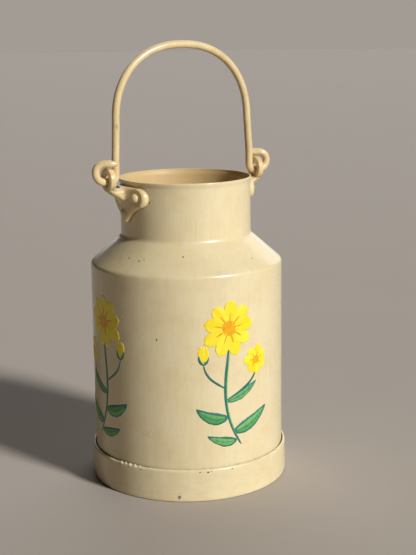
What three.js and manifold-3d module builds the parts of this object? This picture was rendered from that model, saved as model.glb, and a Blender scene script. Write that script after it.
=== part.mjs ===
// A painted ten-litre milk can with a riveted ear on each side of its neck and a wire bail.
// Millimetres, +Z up, origin on the floor under the can's axis, +X along the bail's hinge.

import * as THREE from 'three';
import { mergeVertices } from 'three/addons/utils/BufferGeometryUtils.js';
import Module from 'manifold-3d';

const wasm = await Module();
wasm.setup();

// Shared
const GAP = 0.3; // clearance between pieces that touch on the real can
const TURN_SIDES = 64; // flat sides of everything round the can's axis
const OVERSHOOT = 5; // how far a cutting shape runs past what it cuts

// Can: a drawn body with a spun breast on it, which is the shoulder and neck in one
const WALL = 2.2;
const BODY_RADIUS = 110;
const BASE_HEIGHT = 3; // underside of the body above the floor
const BASE_CORNER = 6;
const KICK_RADIUS = 88; // where the bottom steps up
const KICK_HEIGHT = 6;
const KICK_RUN = 8;
const KICK_ROUND = 5;
const BODY_TOP = 252.5; // where body and shoulder lines meet
const SHOULDER_RISE = 0.88; // height gained per millimetre of radius
const SHOULDER_ROUND = 6;
const SEAM_HEIGHT = 249.4; // where the breast is joined to the body, just under the shoulder's round
const NECK_RADIUS = 74.5;
const NECK_ROUND = 7;
const MOUTH_HEIGHT = 348.7;
const LIP_RADIUS = 75.6; // outside of the mouth, a little wider than the neck
const LIP_HEIGHT = 6;
const LIP_BEND = 8;
const LIP_ROUND = 0.8;

// Foot hoop
const HOOP_RADIUS = 114;
const HOOP_HEIGHT = 37;
const HOOP_TOP_ROUND = 3;
const HOOP_FOOT_ROUND = 1.5;
const HOOP_LIP_RADIUS = 101; // inner edge of the lip that the can stands on

// Bail
const ROD_RADIUS = 4.25;
const ROD_SIDES = 12;
const HINGE_HEIGHT = 349.2; // centre of the rod where it lies in the eyes
const BAIL_TOP = 500;
const ARCH_HALF_WIDTH = 87.1; // to the rod's centre
const ARCH_BASE = 411.5; // height at which the legs turn into the arch
const ARCH_POWER = 2.23; // 2 would be an ellipse
const ARCH_LEAN = -2.1; // the hand-bent arch leans this far along X at its top
const ARCH_STATIONS = 16;
const LEG_OFFSET = 89.4; // rod centre of a leg just above its eye
const LEG_STRAIGHT_TOP = 372;
const LEG_BEND = 6.5;
const CURL_REACH = 114.3; // outermost rod centre of a curled end
const CURL_BEND = 10.5;
const CURL_TOP = 369.2;
const CURL_TOP_BEND = 9.5;
const CURL_TIP = 92; // where the curled end stops, beside its leg
const BEND_STEP = 18; // degrees

// Ears: a plate riveted to the neck, an arm and an eye
const EAR_THICKNESS = 6.4;
const EAR_TOP = 342.2;
const EAR_TIP = 302.6;
const EAR_TIP_ROUND = 4;
const EAR_TIP_TURN = 30; // degrees below level at which the point's round starts
const LOBE_OFFSET = 21.6;
const LOBE_RADIUS = 11.4;
const LOBE_TURN = 56; // degrees below level at which a lobe's round ends
const FLANK_PULL = [13, 316.5]; // draws the flank between lobe and point inwards
const EYE_OFFSET = 98.6;
const EYE_THICKNESS = 7.4;
const EYE_RADIUS = 12.9;
const EYE_HOLE = 6.9;
const EYE_ROUND = 1.2;
const EYE_SIDES = 32;
const ARM_ROOT_HALF_WIDTH = 13;
const ARM_HALF_WIDTH = 6.5;
const ARM_TOP = 341; // upper side of the arm under the bail's leg
const ARM_STEP = 2.5; // how far the arm rises into the eye
const ARM_END = 339.5; // underside of the arm at its outer end
const ARM_FOOT = 318; // where the arm's underside runs into the plate
const ARM_BELLY = [[94, 331.5], [82.5, 329.5]]; // draw the underside between those two down

// Rivets
const RIVET_SPREAD = 14.5; // degrees from the ear's middle to an upper rivet
const RIVET_HEIGHT = 331.5;
const LOW_RIVET_HEIGHT = 313;
const SHANK_RADIUS = 2.5;
const SHANK_SIDES = 12;
const HEAD_RADIUS = 5;
const HEAD_HEIGHT = 3.4;
const HEAD_SIDES = 14;
const TAIL_RADIUS = 4;
const TAIL_HEIGHT = 1.2;
const TAIL_ROUND = 0.6;

const CREAM = { color: 0xe2cf9f, roughness: 0.42, metalness: 0 };
const CREAM_CAST = { color: 0xd9c491, roughness: 0.5, metalness: 0 };
const CREAM_ROD = { color: 0xdcc894, roughness: 0.38, metalness: 0 };

const radians = THREE.MathUtils.degToRad;

// ---------------------------------------------------------------- solids and meshes

function toSolid(geometry) {
  geometry.deleteAttribute('normal');
  geometry.deleteAttribute('uv');
  const welded = mergeVertices(geometry, 1e-4);
  const index = welded.index.array;
  const triangles = [];
  for (let i = 0; i < index.length; i += 3) {
    const [a, b, c] = index.slice(i, i + 3);
    if (a !== b && b !== c && c !== a) triangles.push(a, b, c);
  }
  return new wasm.Manifold(new wasm.Mesh({
    numProp: 3,
    vertProperties: new Float32Array(welded.attributes.position.array),
    triVerts: new Uint32Array(triangles),
  }));
}

function toMesh(name, solid, finish) {
  const { vertProperties, triVerts } = solid.getMesh();
  const geometry = new THREE.BufferGeometry();
  geometry.setAttribute('position', new THREE.BufferAttribute(vertProperties, 3));
  geometry.setIndex(new THREE.BufferAttribute(triVerts, 1));
  geometry.computeVertexNormals();
  const mesh = new THREE.Mesh(geometry, new THREE.MeshStandardMaterial(finish));
  mesh.name = name;
  return mesh;
}

// A closed [radius, height] outline turned round the Z axis.
function turned(outline, sides) {
  const points = outline.map(([radius, height]) => new THREE.Vector2(radius, height));
  return toSolid(new THREE.LatheGeometry(points, sides).rotateX(Math.PI / 2));
}

// The same, turned round the X axis, its heights running along +X.
function turnedAlongX(outline, sides) {
  const points = outline.map(([radius, height]) => new THREE.Vector2(radius, height));
  return toSolid(new THREE.LatheGeometry(points, sides).rotateZ(-Math.PI / 2));
}

// A Shape drawn in Y (across) and Z (up), carried along +X from `start` for `depth`.
function extrudedAlongX(shape, start, depth) {
  const basis = new THREE.Matrix4().makeBasis(
    new THREE.Vector3(0, 1, 0), new THREE.Vector3(0, 0, 1), new THREE.Vector3(1, 0, 0),
  );
  const settings = { depth, bevelEnabled: false, curveSegments: 8 };
  return toSolid(new THREE.ExtrudeGeometry(shape, settings).applyMatrix4(basis).translate(start, 0, 0));
}

// A Shape drawn in X (across) and Z (up), as thick as `width` about the plane y = 0.
function extrudedAlongY(shape, width) {
  const settings = { depth: width, bevelEnabled: false, curveSegments: 6 };
  const geometry = new THREE.ExtrudeGeometry(shape, settings);
  return toSolid(geometry.rotateX(Math.PI / 2).translate(0, width / 2, 0));
}

// A Shape drawn in X and Y, carried up from `bottom` for `height`.
function extrudedUp(shape, bottom, height) {
  const settings = { depth: height, bevelEnabled: false, curveSegments: 6 };
  return toSolid(new THREE.ExtrudeGeometry(shape, settings).translate(0, 0, bottom));
}

// ---------------------------------------------------------------- outlines

// Points of an arc about (x, y), from one angle to the other in degrees, both ends included.
function arc(x, y, radius, from, to, steps) {
  return Array.from({ length: steps + 1 }, (_, i) => {
    const angle = radians(from + ((to - from) * i) / steps);
    return [x + radius * Math.cos(angle), y + radius * Math.sin(angle)];
  });
}

// Replaces each corner [x, y, radius] of an open path by an arc that touches both its sides.
function rounded(corners, step = 22) {
  return corners.flatMap(([x, y, radius], i) => {
    if (!radius || i === 0 || i === corners.length - 1) return [[x, y]];
    const corner = new THREE.Vector2(x, y);
    const before = new THREE.Vector2(corners[i - 1][0], corners[i - 1][1]).sub(corner).normalize();
    const after = new THREE.Vector2(corners[i + 1][0], corners[i + 1][1]).sub(corner).normalize();
    const half = Math.acos(before.dot(after)) / 2;
    const centre = before.clone().add(after).normalize().multiplyScalar(radius / Math.sin(half)).add(corner);
    const run = radius / Math.tan(half);
    const first = corner.clone().addScaledVector(before, run).sub(centre);
    const turn = Math.PI - 2 * half;
    const side = Math.sign(before.cross(after)) * -1;
    const steps = Math.max(2, Math.round(THREE.MathUtils.radToDeg(turn) / step));
    const origin = new THREE.Vector2(0, 0);
    return Array.from({ length: steps + 1 }, (_, k) => {
      const point = first.clone().rotateAround(origin, (side * turn * k) / steps).add(centre);
      return [point.x, point.y];
    });
  });
}

// Moves an open path of corners to its left by `distance`, keeping the wall even at each round.
function movedLeft(corners, distance) {
  const normals = corners.slice(1).map(([x, y], i) => {
    const along = new THREE.Vector2(x - corners[i][0], y - corners[i][1]).normalize();
    return new THREE.Vector2(-along.y, along.x);
  });
  return corners.map(([x, y, radius], i) => {
    const before = normals[Math.max(0, i - 1)];
    const after = normals[Math.min(i, normals.length - 1)];
    const mitre = before.clone().add(after);
    mitre.multiplyScalar((2 * distance) / mitre.lengthSq());
    const convex = before.cross(after) > 0;
    return [x + mitre.x, y + mitre.y, radius ? radius + (convex ? -distance : distance) : 0];
  });
}

// ---------------------------------------------------------------- can

// Body and breast as one wall, from the bottom to the mouth.
function canWall() {
  const shoulderEnd = BODY_TOP + (BODY_RADIUS - NECK_RADIUS) * SHOULDER_RISE;
  const outside = [
    [0, BASE_HEIGHT + KICK_HEIGHT, 0],
    [KICK_RADIUS - KICK_RUN / 2, BASE_HEIGHT + KICK_HEIGHT, KICK_ROUND],
    [KICK_RADIUS + KICK_RUN / 2, BASE_HEIGHT, KICK_ROUND],
    [BODY_RADIUS, BASE_HEIGHT, BASE_CORNER],
    [BODY_RADIUS, BODY_TOP, SHOULDER_ROUND],
    [NECK_RADIUS, shoulderEnd, NECK_ROUND],
    [NECK_RADIUS, MOUTH_HEIGHT - LIP_HEIGHT, LIP_BEND],
    [LIP_RADIUS, MOUTH_HEIGHT - LIP_HEIGHT / 3, LIP_BEND],
    [LIP_RADIUS, MOUTH_HEIGHT, 0],
  ];
  const inside = movedLeft(outside, WALL);
  const edge = [
    ...arc(LIP_RADIUS - LIP_ROUND, MOUTH_HEIGHT - LIP_ROUND, LIP_ROUND, 0, 90, 2),
    ...arc(LIP_RADIUS - WALL + LIP_ROUND, MOUTH_HEIGHT - LIP_ROUND, LIP_ROUND, 90, 180, 2),
  ];
  const outline = [...rounded(outside).slice(0, -1), ...edge, ...rounded(inside).slice(0, -1).reverse()];
  return turned(outline, TURN_SIDES).subtract(shankHoles());
}

function canBody() {
  return canWall().trimByPlane([0, 0, -1], GAP / 2 - SEAM_HEIGHT);
}

function canBreast() {
  return canWall().trimByPlane([0, 0, 1], SEAM_HEIGHT + GAP / 2);
}

function footHoop() {
  const cornerRadius = BODY_RADIUS - BASE_CORNER;
  const cornerHeight = BASE_HEIGHT + BASE_CORNER;
  const inner = BODY_RADIUS + GAP;
  const outline = [
    [HOOP_LIP_RADIUS, 0],
    ...arc(HOOP_RADIUS - HOOP_FOOT_ROUND, HOOP_FOOT_ROUND, HOOP_FOOT_ROUND, -90, 0, 2),
    ...arc(HOOP_RADIUS - HOOP_TOP_ROUND, HOOP_HEIGHT - HOOP_TOP_ROUND, HOOP_TOP_ROUND, 0, 90, 4),
    [inner, HOOP_HEIGHT],
    ...arc(cornerRadius, cornerHeight, BASE_CORNER + GAP, 0, -90, 5),
    [HOOP_LIP_RADIUS, BASE_HEIGHT - GAP],
    [HOOP_LIP_RADIUS, 0],
  ];
  return turned(outline, TURN_SIDES);
}

// ---------------------------------------------------------------- ears

// Half-rounds at both top corners and a blunt point below, as seen along the hinge.
function earOutline() {
  const lobeHeight = EAR_TOP - LOBE_RADIUS;
  const tipHeight = EAR_TIP + EAR_TIP_ROUND;
  const [pullAcross, pullHeight] = FLANK_PULL;
  const tipSide = EAR_TIP_ROUND * Math.cos(radians(EAR_TIP_TURN));
  const tipLevel = tipHeight - EAR_TIP_ROUND * Math.sin(radians(EAR_TIP_TURN));
  const shape = new THREE.Shape();
  shape.moveTo(-LOBE_OFFSET, EAR_TOP);
  shape.absarc(-LOBE_OFFSET, lobeHeight, LOBE_RADIUS, radians(90), radians(180 + LOBE_TURN), false);
  shape.quadraticCurveTo(-pullAcross, pullHeight, -tipSide, tipLevel);
  shape.absarc(0, tipHeight, EAR_TIP_ROUND, radians(180 + EAR_TIP_TURN), radians(360 - EAR_TIP_TURN), false);
  shape.quadraticCurveTo(
    pullAcross, pullHeight,
    LOBE_OFFSET + LOBE_RADIUS * Math.cos(radians(LOBE_TURN)),
    lobeHeight - LOBE_RADIUS * Math.sin(radians(LOBE_TURN)),
  );
  shape.absarc(LOBE_OFFSET, lobeHeight, LOBE_RADIUS, radians(-LOBE_TURN), radians(90), false);
  shape.closePath();
  return shape;
}

function earPlate() {
  const inner = NECK_RADIUS + GAP;
  const band = turned([
    [inner, EAR_TIP - OVERSHOOT],
    [inner + EAR_THICKNESS, EAR_TIP - OVERSHOOT],
    [inner + EAR_THICKNESS, EAR_TOP + OVERSHOOT],
    [inner, EAR_TOP + OVERSHOOT],
    [inner, EAR_TIP - OVERSHOOT],
  ], TURN_SIDES);
  return extrudedAlongX(earOutline(), inner / 2, inner).intersect(band);
}

// The arm swells out of the plate and narrows to its waist, where the bail's leg swings past it.
function earArm() {
  const root = NECK_RADIUS + GAP + EAR_THICKNESS / 2;
  const waist = LEG_OFFSET - ROD_RADIUS - 1;
  const end = EYE_OFFSET + EYE_THICKNESS / 2;
  const stepFoot = EYE_OFFSET - EYE_THICKNESS / 2 - 1;
  const [outerPull, innerPull] = ARM_BELLY;
  const side = new THREE.Shape();
  side.moveTo(root, ARM_TOP);
  side.lineTo(stepFoot, ARM_TOP);
  side.lineTo(stepFoot + 1, ARM_TOP + ARM_STEP);
  side.lineTo(end, ARM_TOP + ARM_STEP);
  side.lineTo(end, ARM_END);
  side.bezierCurveTo(...outerPull, ...innerPull, root, ARM_FOOT);
  side.closePath();
  const plan = new THREE.Shape();
  plan.moveTo(root, -ARM_ROOT_HALF_WIDTH);
  plan.quadraticCurveTo(waist - 2, -ARM_HALF_WIDTH, waist, -ARM_HALF_WIDTH);
  plan.lineTo(end, -ARM_HALF_WIDTH);
  plan.lineTo(end, ARM_HALF_WIDTH);
  plan.lineTo(waist, ARM_HALF_WIDTH);
  plan.quadraticCurveTo(waist - 2, ARM_HALF_WIDTH, root, ARM_ROOT_HALF_WIDTH);
  plan.closePath();
  const low = ARM_FOOT - OVERSHOOT;
  const column = extrudedUp(plan, low, EAR_TOP + OVERSHOOT - low);
  return extrudedAlongY(side, 3 * ARM_ROOT_HALF_WIDTH).intersect(column);
}

function eyeHeight() {
  return HINGE_HEIGHT - ROD_RADIUS - GAP + EYE_HOLE;
}

function earEye() {
  const half = EYE_THICKNESS / 2;
  const ring = [
    [EYE_HOLE + EYE_ROUND, -half],
    [EYE_RADIUS - EYE_ROUND, -half],
    [EYE_RADIUS, -half + EYE_ROUND],
    [EYE_RADIUS, half - EYE_ROUND],
    [EYE_RADIUS - EYE_ROUND, half],
    [EYE_HOLE + EYE_ROUND, half],
    [EYE_HOLE, half - EYE_ROUND],
    [EYE_HOLE, -half + EYE_ROUND],
    [EYE_HOLE + EYE_ROUND, -half],
  ];
  return turnedAlongX(ring, EYE_SIDES).translate([EYE_OFFSET, 0, eyeHeight()]);
}

function ear() {
  return earPlate().add(earArm()).add(earEye()).subtract(shankHoles());
}

// ---------------------------------------------------------------- rivets

// Angle round the can, in degrees, and height of each rivet of the ear at +X.
const RIVETS = {
  front: [-RIVET_SPREAD, RIVET_HEIGHT],
  back: [RIVET_SPREAD, RIVET_HEIGHT],
  low: [0, LOW_RIVET_HEIGHT],
};

// Round holes for every shank, from well inside the neck to well outside the plates.
function shankHoles() {
  const start = NECK_RADIUS / 2;
  const hole = SHANK_RADIUS + GAP;
  const pin = [[0, start], [hole, start], [hole, EYE_OFFSET], [0, EYE_OFFSET]];
  return [0, 180].flatMap((side) => Object.values(RIVETS).map(([angle, height]) => (
    turnedAlongX(pin, SHANK_SIDES).rotate([0, 0, side + angle]).translate([0, 0, height])
  ))).reduce((all, hole) => all.add(hole));
}

function rivet() {
  const headFace = NECK_RADIUS + GAP + EAR_THICKNESS + GAP;
  const tailFace = NECK_RADIUS - WALL - 2 * GAP;
  const domeRadius = (HEAD_RADIUS ** 2 + HEAD_HEIGHT ** 2) / (2 * HEAD_HEIGHT);
  const domeAngle = THREE.MathUtils.radToDeg(Math.asin(HEAD_RADIUS / domeRadius));
  const dome = arc(0, headFace + HEAD_HEIGHT - domeRadius, domeRadius, 90 - domeAngle, 90, 4);
  dome[dome.length - 1][0] = 0;
  return turnedAlongX([
    [0, tailFace - TAIL_HEIGHT],
    [TAIL_RADIUS - TAIL_ROUND, tailFace - TAIL_HEIGHT],
    [TAIL_RADIUS, tailFace - TAIL_HEIGHT + TAIL_ROUND],
    [TAIL_RADIUS, tailFace],
    [SHANK_RADIUS, tailFace],
    [SHANK_RADIUS, headFace],
    ...dome,
  ], HEAD_SIDES);
}

// ---------------------------------------------------------------- bail

// Follows a list of stations as they are spaced, so that bends get more of them than straights.
class StationCurve extends THREE.Curve {
  constructor(stations) {
    super();
    this.stations = stations;
  }

  getPoint(t, target = new THREE.Vector3()) {
    const place = t * (this.stations.length - 1);
    const i = Math.min(Math.floor(place), this.stations.length - 2);
    return target.lerpVectors(this.stations[i], this.stations[i + 1], place - i);
  }

  getTangent(t, target = new THREE.Vector3()) {
    const last = this.stations.length - 1;
    const i = Math.round(t * last);
    const before = this.stations[Math.max(i - 1, 0)];
    const after = this.stations[Math.min(i + 1, last)];
    return target.subVectors(after, before).normalize();
  }

  getUtoTmapping(u) {
    return u;
  }
}

// The +X half of the rod's centre line, from the arch's top to the tip of the curled end.
function bailHalf() {
  const rise = BAIL_TOP - ROD_RADIUS - ARCH_BASE;
  const power = 2 / ARCH_POWER;
  const arch = Array.from({ length: ARCH_STATIONS + 1 }, (_, i) => {
    const angle = (Math.PI / 2) * (1 - i / ARCH_STATIONS);
    const x = i ? ARCH_HALF_WIDTH * Math.cos(angle) ** power : 0;
    return [x, ARCH_BASE + rise * Math.sin(angle) ** power];
  });
  const steps = 90 / BEND_STEP;
  const legAndEye = [
    [LEG_OFFSET, LEG_STRAIGHT_TOP],
    ...arc(LEG_OFFSET + LEG_BEND, HINGE_HEIGHT + LEG_BEND, LEG_BEND, 180, 270, steps),
    ...arc(CURL_REACH - CURL_BEND, HINGE_HEIGHT + CURL_BEND, CURL_BEND, -90, 0, steps),
  ];
  const curl = [
    ...arc(CURL_REACH - CURL_TOP_BEND, CURL_TOP - CURL_TOP_BEND, CURL_TOP_BEND, 0, 90, steps),
    [(CURL_REACH - CURL_TOP_BEND + CURL_TIP) / 2, CURL_TOP],
    [CURL_TIP, CURL_TOP],
  ];
  return [
    ...[...arch, ...legAndEye].map(([x, z]) => new THREE.Vector3(x, 0, z)),
    ...curl.map(([x, z]) => {
      const along = (CURL_REACH - x) / (CURL_REACH - CURL_TIP);
      const aside = (2 * ROD_RADIUS + GAP / 2) * THREE.MathUtils.smoothstep(along, 0, 1);
      return new THREE.Vector3(x, aside, z);
    }),
  ];
}

// The same half turned about Z gives the other, and then the whole arch leans.
function bail() {
  const half = bailHalf();
  const other = half.slice(1).reverse().map(({ x, y, z }) => new THREE.Vector3(-x, -y, z));
  const stations = [...other, ...half];
  for (const station of stations) {
    const height = Math.max(0, station.z - LEG_STRAIGHT_TOP) / (BAIL_TOP - LEG_STRAIGHT_TOP);
    station.x += ARCH_LEAN * height;
  }
  const section = new THREE.Shape();
  section.absarc(0, 0, ROD_RADIUS, 0, 2 * Math.PI, false);
  return toSolid(new THREE.ExtrudeGeometry(section, {
    steps: stations.length - 1,
    curveSegments: ROD_SIDES / 2,
    extrudePath: new StationCurve(stations),
  }));
}

// ---------------------------------------------------------------- the whole can

const can = new THREE.Group();
can.add(toMesh('can_shell', canBody(), CREAM));
can.add(toMesh('can_breast', canBreast(), CREAM));
can.add(toMesh('foot_hoop', footHoop(), CREAM));

for (const [side, angle] of [['right', 0], ['left', 180]]) {
  const earGroup = new THREE.Group();
  earGroup.rotation.z = radians(angle);
  earGroup.add(toMesh(`ear_${side}`, ear(), CREAM_CAST));
  for (const [place, [around, height]] of Object.entries(RIVETS)) {
    const mesh = toMesh(`rivet_${side}_${place}`, rivet(), CREAM_CAST);
    mesh.rotation.z = radians(around);
    mesh.position.z = height;
    earGroup.add(mesh);
  }
  can.add(earGroup);
}

const handle = toMesh('bail', bail(), CREAM_ROD);
can.add(handle);

export default can;
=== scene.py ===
"""The looks of a cream-painted ten-litre milk can with riveted ears and a swinging bail.

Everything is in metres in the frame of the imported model: +Z up, the can's axis on Z, the floor at z = 0 and
the bail's hinge along +X. Lengths named *_mm are millimetres and are brought to metres by MM.
"""

from __future__ import annotations

import functools
import logging
import math
import sys
from collections.abc import Callable
from dataclasses import dataclass, field
from enum import Enum

import bpy  # noqa: E402
import numpy as np  # noqa: E402
from mathutils import Matrix  # noqa: E402

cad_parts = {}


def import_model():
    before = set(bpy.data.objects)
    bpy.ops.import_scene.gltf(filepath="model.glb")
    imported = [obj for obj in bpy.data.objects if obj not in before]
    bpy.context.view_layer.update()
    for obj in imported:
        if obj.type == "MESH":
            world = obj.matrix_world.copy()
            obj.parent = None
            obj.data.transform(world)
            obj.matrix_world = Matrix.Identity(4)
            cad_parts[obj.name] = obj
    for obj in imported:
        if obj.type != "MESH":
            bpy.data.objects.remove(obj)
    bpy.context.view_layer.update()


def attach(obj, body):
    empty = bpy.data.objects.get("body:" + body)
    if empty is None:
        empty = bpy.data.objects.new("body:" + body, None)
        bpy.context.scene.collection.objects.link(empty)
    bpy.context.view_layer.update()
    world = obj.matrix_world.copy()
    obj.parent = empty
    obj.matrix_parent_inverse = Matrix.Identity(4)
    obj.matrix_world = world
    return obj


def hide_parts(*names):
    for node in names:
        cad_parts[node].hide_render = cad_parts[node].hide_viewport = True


MM = 0.001
TURN = 2.0 * math.pi
TINY = 1e-9  # stands in for a length of zero under a fraction
log = logging.getLogger("milk_can")

Array = np.ndarray


# ------------------------------------------------------------------ meshes from arrays


class Slot(Enum):
    """The names of the record's material slots."""

    CAN = "can_paint"
    EAR = "ear_paint"
    BAIL = "bail_paint"


class Body(Enum):
    """The two rigid bodies of the model."""

    CAN = "can"
    BAIL = "bail"


@dataclass
class Surface:
    """Vertices and faces of one piece, gathered before they become a mesh.

    Args:
        points: one row (x, y, z) in metres for each vertex.
        faces: a list of whole-array blocks of faces, each with one row of vertex indices for each face.
        uv: one row (u, v) for each vertex, or None.
        tint: one number for each vertex, or None.
    """

    points: Array
    faces: list[Array]
    uv: Array | None = None
    tint: Array | None = None

    def joined(self, other: "Surface") -> "Surface":
        """Both surfaces as one, the other's indices moved past this one's.

        Args:
            other: the surface to add. Both have a UV map and a tint.

        Returns:
            The joined surface.
        """
        return Surface(
            np.concatenate([self.points, other.points]),
            self.faces + [block + len(self.points) for block in other.faces],
            np.concatenate([self.uv, other.uv]),
            np.concatenate([self.tint, other.tint]),
        )

    def turned(self, angle: float) -> "Surface":
        """The surface turned about the Z axis.

        Args:
            angle: the turn in radians, counter-clockwise seen from above.

        Returns:
            The turned surface.
        """
        c, s = math.cos(angle), math.sin(angle)
        matrix = np.array([[c, s, 0.0], [-s, c, 0.0], [0.0, 0.0, 1.0]])
        return Surface(self.points @ matrix, self.faces, self.uv, self.tint)

    def to_object(self, name: str, material: bpy.types.Material, smooth: bool = True) -> bpy.types.Object:
        """Makes the mesh and its object.

        Args:
            name: the piece's name.
            material: its one material.
            smooth: whether the faces are shaded smooth.

        Returns:
            The object, at the origin, with its place in its mesh.
        """
        mesh = bpy.data.meshes.new(name)
        sizes = np.concatenate([np.full(len(block), block.shape[1]) for block in self.faces])
        corners = np.concatenate([block.ravel() for block in self.faces]).astype(np.int32)
        starts = np.concatenate([[0], np.cumsum(sizes)[:-1]]).astype(np.int32)
        mesh.vertices.add(len(self.points))
        mesh.vertices.foreach_set("co", self.points.astype(np.float32).ravel())
        mesh.loops.add(len(corners))
        mesh.loops.foreach_set("vertex_index", corners)
        mesh.polygons.add(len(sizes))
        mesh.polygons.foreach_set("loop_start", starts)
        mesh.polygons.foreach_set("use_smooth", np.full(len(sizes), smooth))
        mesh.update(calc_edges=True)
        if self.uv is not None:
            layer = mesh.uv_layers.new(name="UVMap")
            layer.data.foreach_set("uv", self.uv[corners].astype(np.float32).ravel())
        if self.tint is not None:
            tint = mesh.attributes.new("tint", "FLOAT", "POINT")
            tint.data.foreach_set("value", self.tint.astype(np.float32))
        mesh.validate()
        mesh.materials.append(material)
        piece = bpy.data.objects.new(name, mesh)
        bpy.context.scene.collection.objects.link(piece)
        return piece


def grid_faces(rows: int, columns: int, wrap_rows: bool = False) -> Array:
    """Four-sided faces between neighbouring points of a grid stored row by row, each row a closed ring.

    Args:
        rows: number of rows of points.
        columns: number of points in a row.
        wrap_rows: whether the last row joins the first.

    Returns:
        An array of shape (faces, 4). A face runs from a point to the next in its row, then to the next row.
    """
    r = np.arange(rows if wrap_rows else rows - 1)[:, None]
    c = np.arange(columns)[None, :]
    r1, c1 = (r + 1) % rows, (c + 1) % columns
    face = [r * columns + c, r * columns + c1, r1 * columns + c1, r1 * columns + c]
    return np.stack(np.broadcast_arrays(*face), axis=-1).reshape(-1, 4)


def smoothstep(t: Array) -> Array:
    """The rise 3t^2 - 2t^3 from 0 to 1, level at both ends."""
    return t * t * (3.0 - 2.0 * t)


def unit_rows(rows: Array) -> Array:
    """Each row divided by its length."""
    return rows / np.maximum(np.linalg.norm(rows, axis=1, keepdims=True), TINY)


def run_length(line: Array) -> Array:
    """The way along a line of points from its first to each of them."""
    return np.concatenate([[0.0], np.cumsum(np.linalg.norm(np.diff(line, axis=0), axis=1))])


def heading(angle: float) -> Array:
    """The unit vector (cos a, sin a)."""
    return np.array([math.cos(angle), math.sin(angle)])


class Lattice(Enum):
    """The random lattices that make shapes uneven, each with its pitch in millimetres and its seed."""

    WIDE_DENT = (34.0, 11)
    SMALL_DENT = (11.0, 12)
    WIDE_SAG = (26.0, 21)
    SMALL_SAG = (5.0, 22)
    HOOP_LUMP = (9.0, 23)
    CASTING = (7.0, 31)
    LONG_RUN = (9.0, 41)
    SHORT_RUN = (3.5, 42)
    STROKE_EDGE = (3.0, 51)


def value_noise(points: Array, lattice: Lattice) -> Array:
    """Smooth noise: random numbers on a cubic lattice, blended by the smoothstep between its points.

    Args:
        points: rows (x, y, z) in millimetres.
        lattice: the lattice.

    Returns:
        One number from -1 to 1 for each row.
    """
    size, middle = 32, 1000.0
    pitch, seed = lattice.value
    numbers = np.random.default_rng(seed).uniform(-1.0, 1.0, (size, size, size))
    scaled = points / pitch + middle
    base = np.floor(scaled).astype(int)
    t = smoothstep(scaled - base)
    total = np.zeros(len(points))
    for corner in range(8):
        offset = np.array([corner & 1, corner >> 1 & 1, corner >> 2 & 1])
        index = (base + offset) % size
        weight = np.prod(np.where(offset, t, 1.0 - t), axis=1)
        total += weight * numbers[index[:, 0], index[:, 1], index[:, 2]]
    return total


# ------------------------------------------------------------------ profiles

Corner = tuple[float, float, float]
Spot = tuple[float, float]


def arc_points(cx: float, cy: float, radius: float, start: float, end: float, steps: int) -> Array:
    """Points of an arc about (cx, cy): (cx + r cos a, cy + r sin a) for a from start to end in degrees.

    Args:
        cx: the centre's first coordinate.
        cy: the centre's second coordinate.
        radius: the arc's radius.
        start: the first angle.
        end: the last angle.
        steps: number of steps, one less than the points.

    Returns:
        An array of shape (steps + 1, 2).
    """
    angle = np.radians(np.linspace(start, end, steps + 1))
    return np.stack([cx + radius * np.cos(angle), cy + radius * np.sin(angle)], axis=1)


def rounded_path(corners: list[Corner], step: float = 7.5) -> Array:
    """An open path whose corners (x, y, radius) are replaced by arcs that touch both sides.

    Args:
        corners: the corners. A radius of 0 keeps the corner sharp.
        step: largest turn between neighbouring points of an arc, in degrees.

    Returns:
        An array of points, shape (n, 2).
    """
    points: list[Array] = []
    for i, (x, y, radius) in enumerate(corners):
        here = np.array([x, y])
        if not radius or i in (0, len(corners) - 1):
            points.append(here[None])
            continue
        before = np.array(corners[i - 1][:2]) - here
        after = np.array(corners[i + 1][:2]) - here
        before, after = before / np.linalg.norm(before), after / np.linalg.norm(after)
        half = math.acos(float(np.clip(before @ after, -1.0, 1.0))) / 2.0
        middle = before + after
        centre = here + middle / np.linalg.norm(middle) * radius / math.sin(half)
        first = here + before * radius / math.tan(half) - centre
        side = -math.copysign(1.0, before[0] * after[1] - before[1] * after[0])
        turn = math.pi - 2.0 * half
        angle = side * np.linspace(0.0, turn, max(3, round(math.degrees(turn) / step)) + 1)
        c, s = np.cos(angle), np.sin(angle)
        turned = [first[0] * c - first[1] * s, first[0] * s + first[1] * c]
        points.append(centre + np.stack(turned, axis=1))
    return np.concatenate(points)


def moved_left(corners: list[Corner], distance: float) -> list[Corner]:
    """A path of corners moved to its left, each round kept concentric so that a wall is even.

    Args:
        corners: the corners (x, y, radius).
        distance: how far the path moves.

    Returns:
        The moved corners.
    """
    xy = np.array([corner[:2] for corner in corners])
    along = unit_rows(np.diff(xy, axis=0))
    normal = np.stack([-along[:, 1], along[:, 0]], axis=1)
    moved = []
    for i, (x, y, radius) in enumerate(corners):
        before, after = normal[max(0, i - 1)], normal[min(i, len(normal) - 1)]
        mitre = before + after
        mitre *= 2.0 * distance / float(mitre @ mitre)
        convex = before[0] * after[1] - before[1] * after[0] > 0
        new_radius = radius + (-distance if convex else distance) if radius else 0.0
        moved.append((x + mitre[0], y + mitre[1], new_radius))
    return moved


def resampled(path: Array, spacing: float) -> Array:
    """A path with points added so that no step is longer than the spacing; its own points all stay.

    Args:
        path: points, shape (n, 2).
        spacing: the longest step.

    Returns:
        The denser path.
    """
    steps = np.maximum(1, np.ceil(np.linalg.norm(np.diff(path, axis=0), axis=1) / spacing).astype(int))
    parts = [a + (b - a) * np.arange(n)[:, None] / n for a, b, n in zip(path[:-1], path[1:], steps)]
    return np.concatenate([*parts, path[-1:]])


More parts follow.
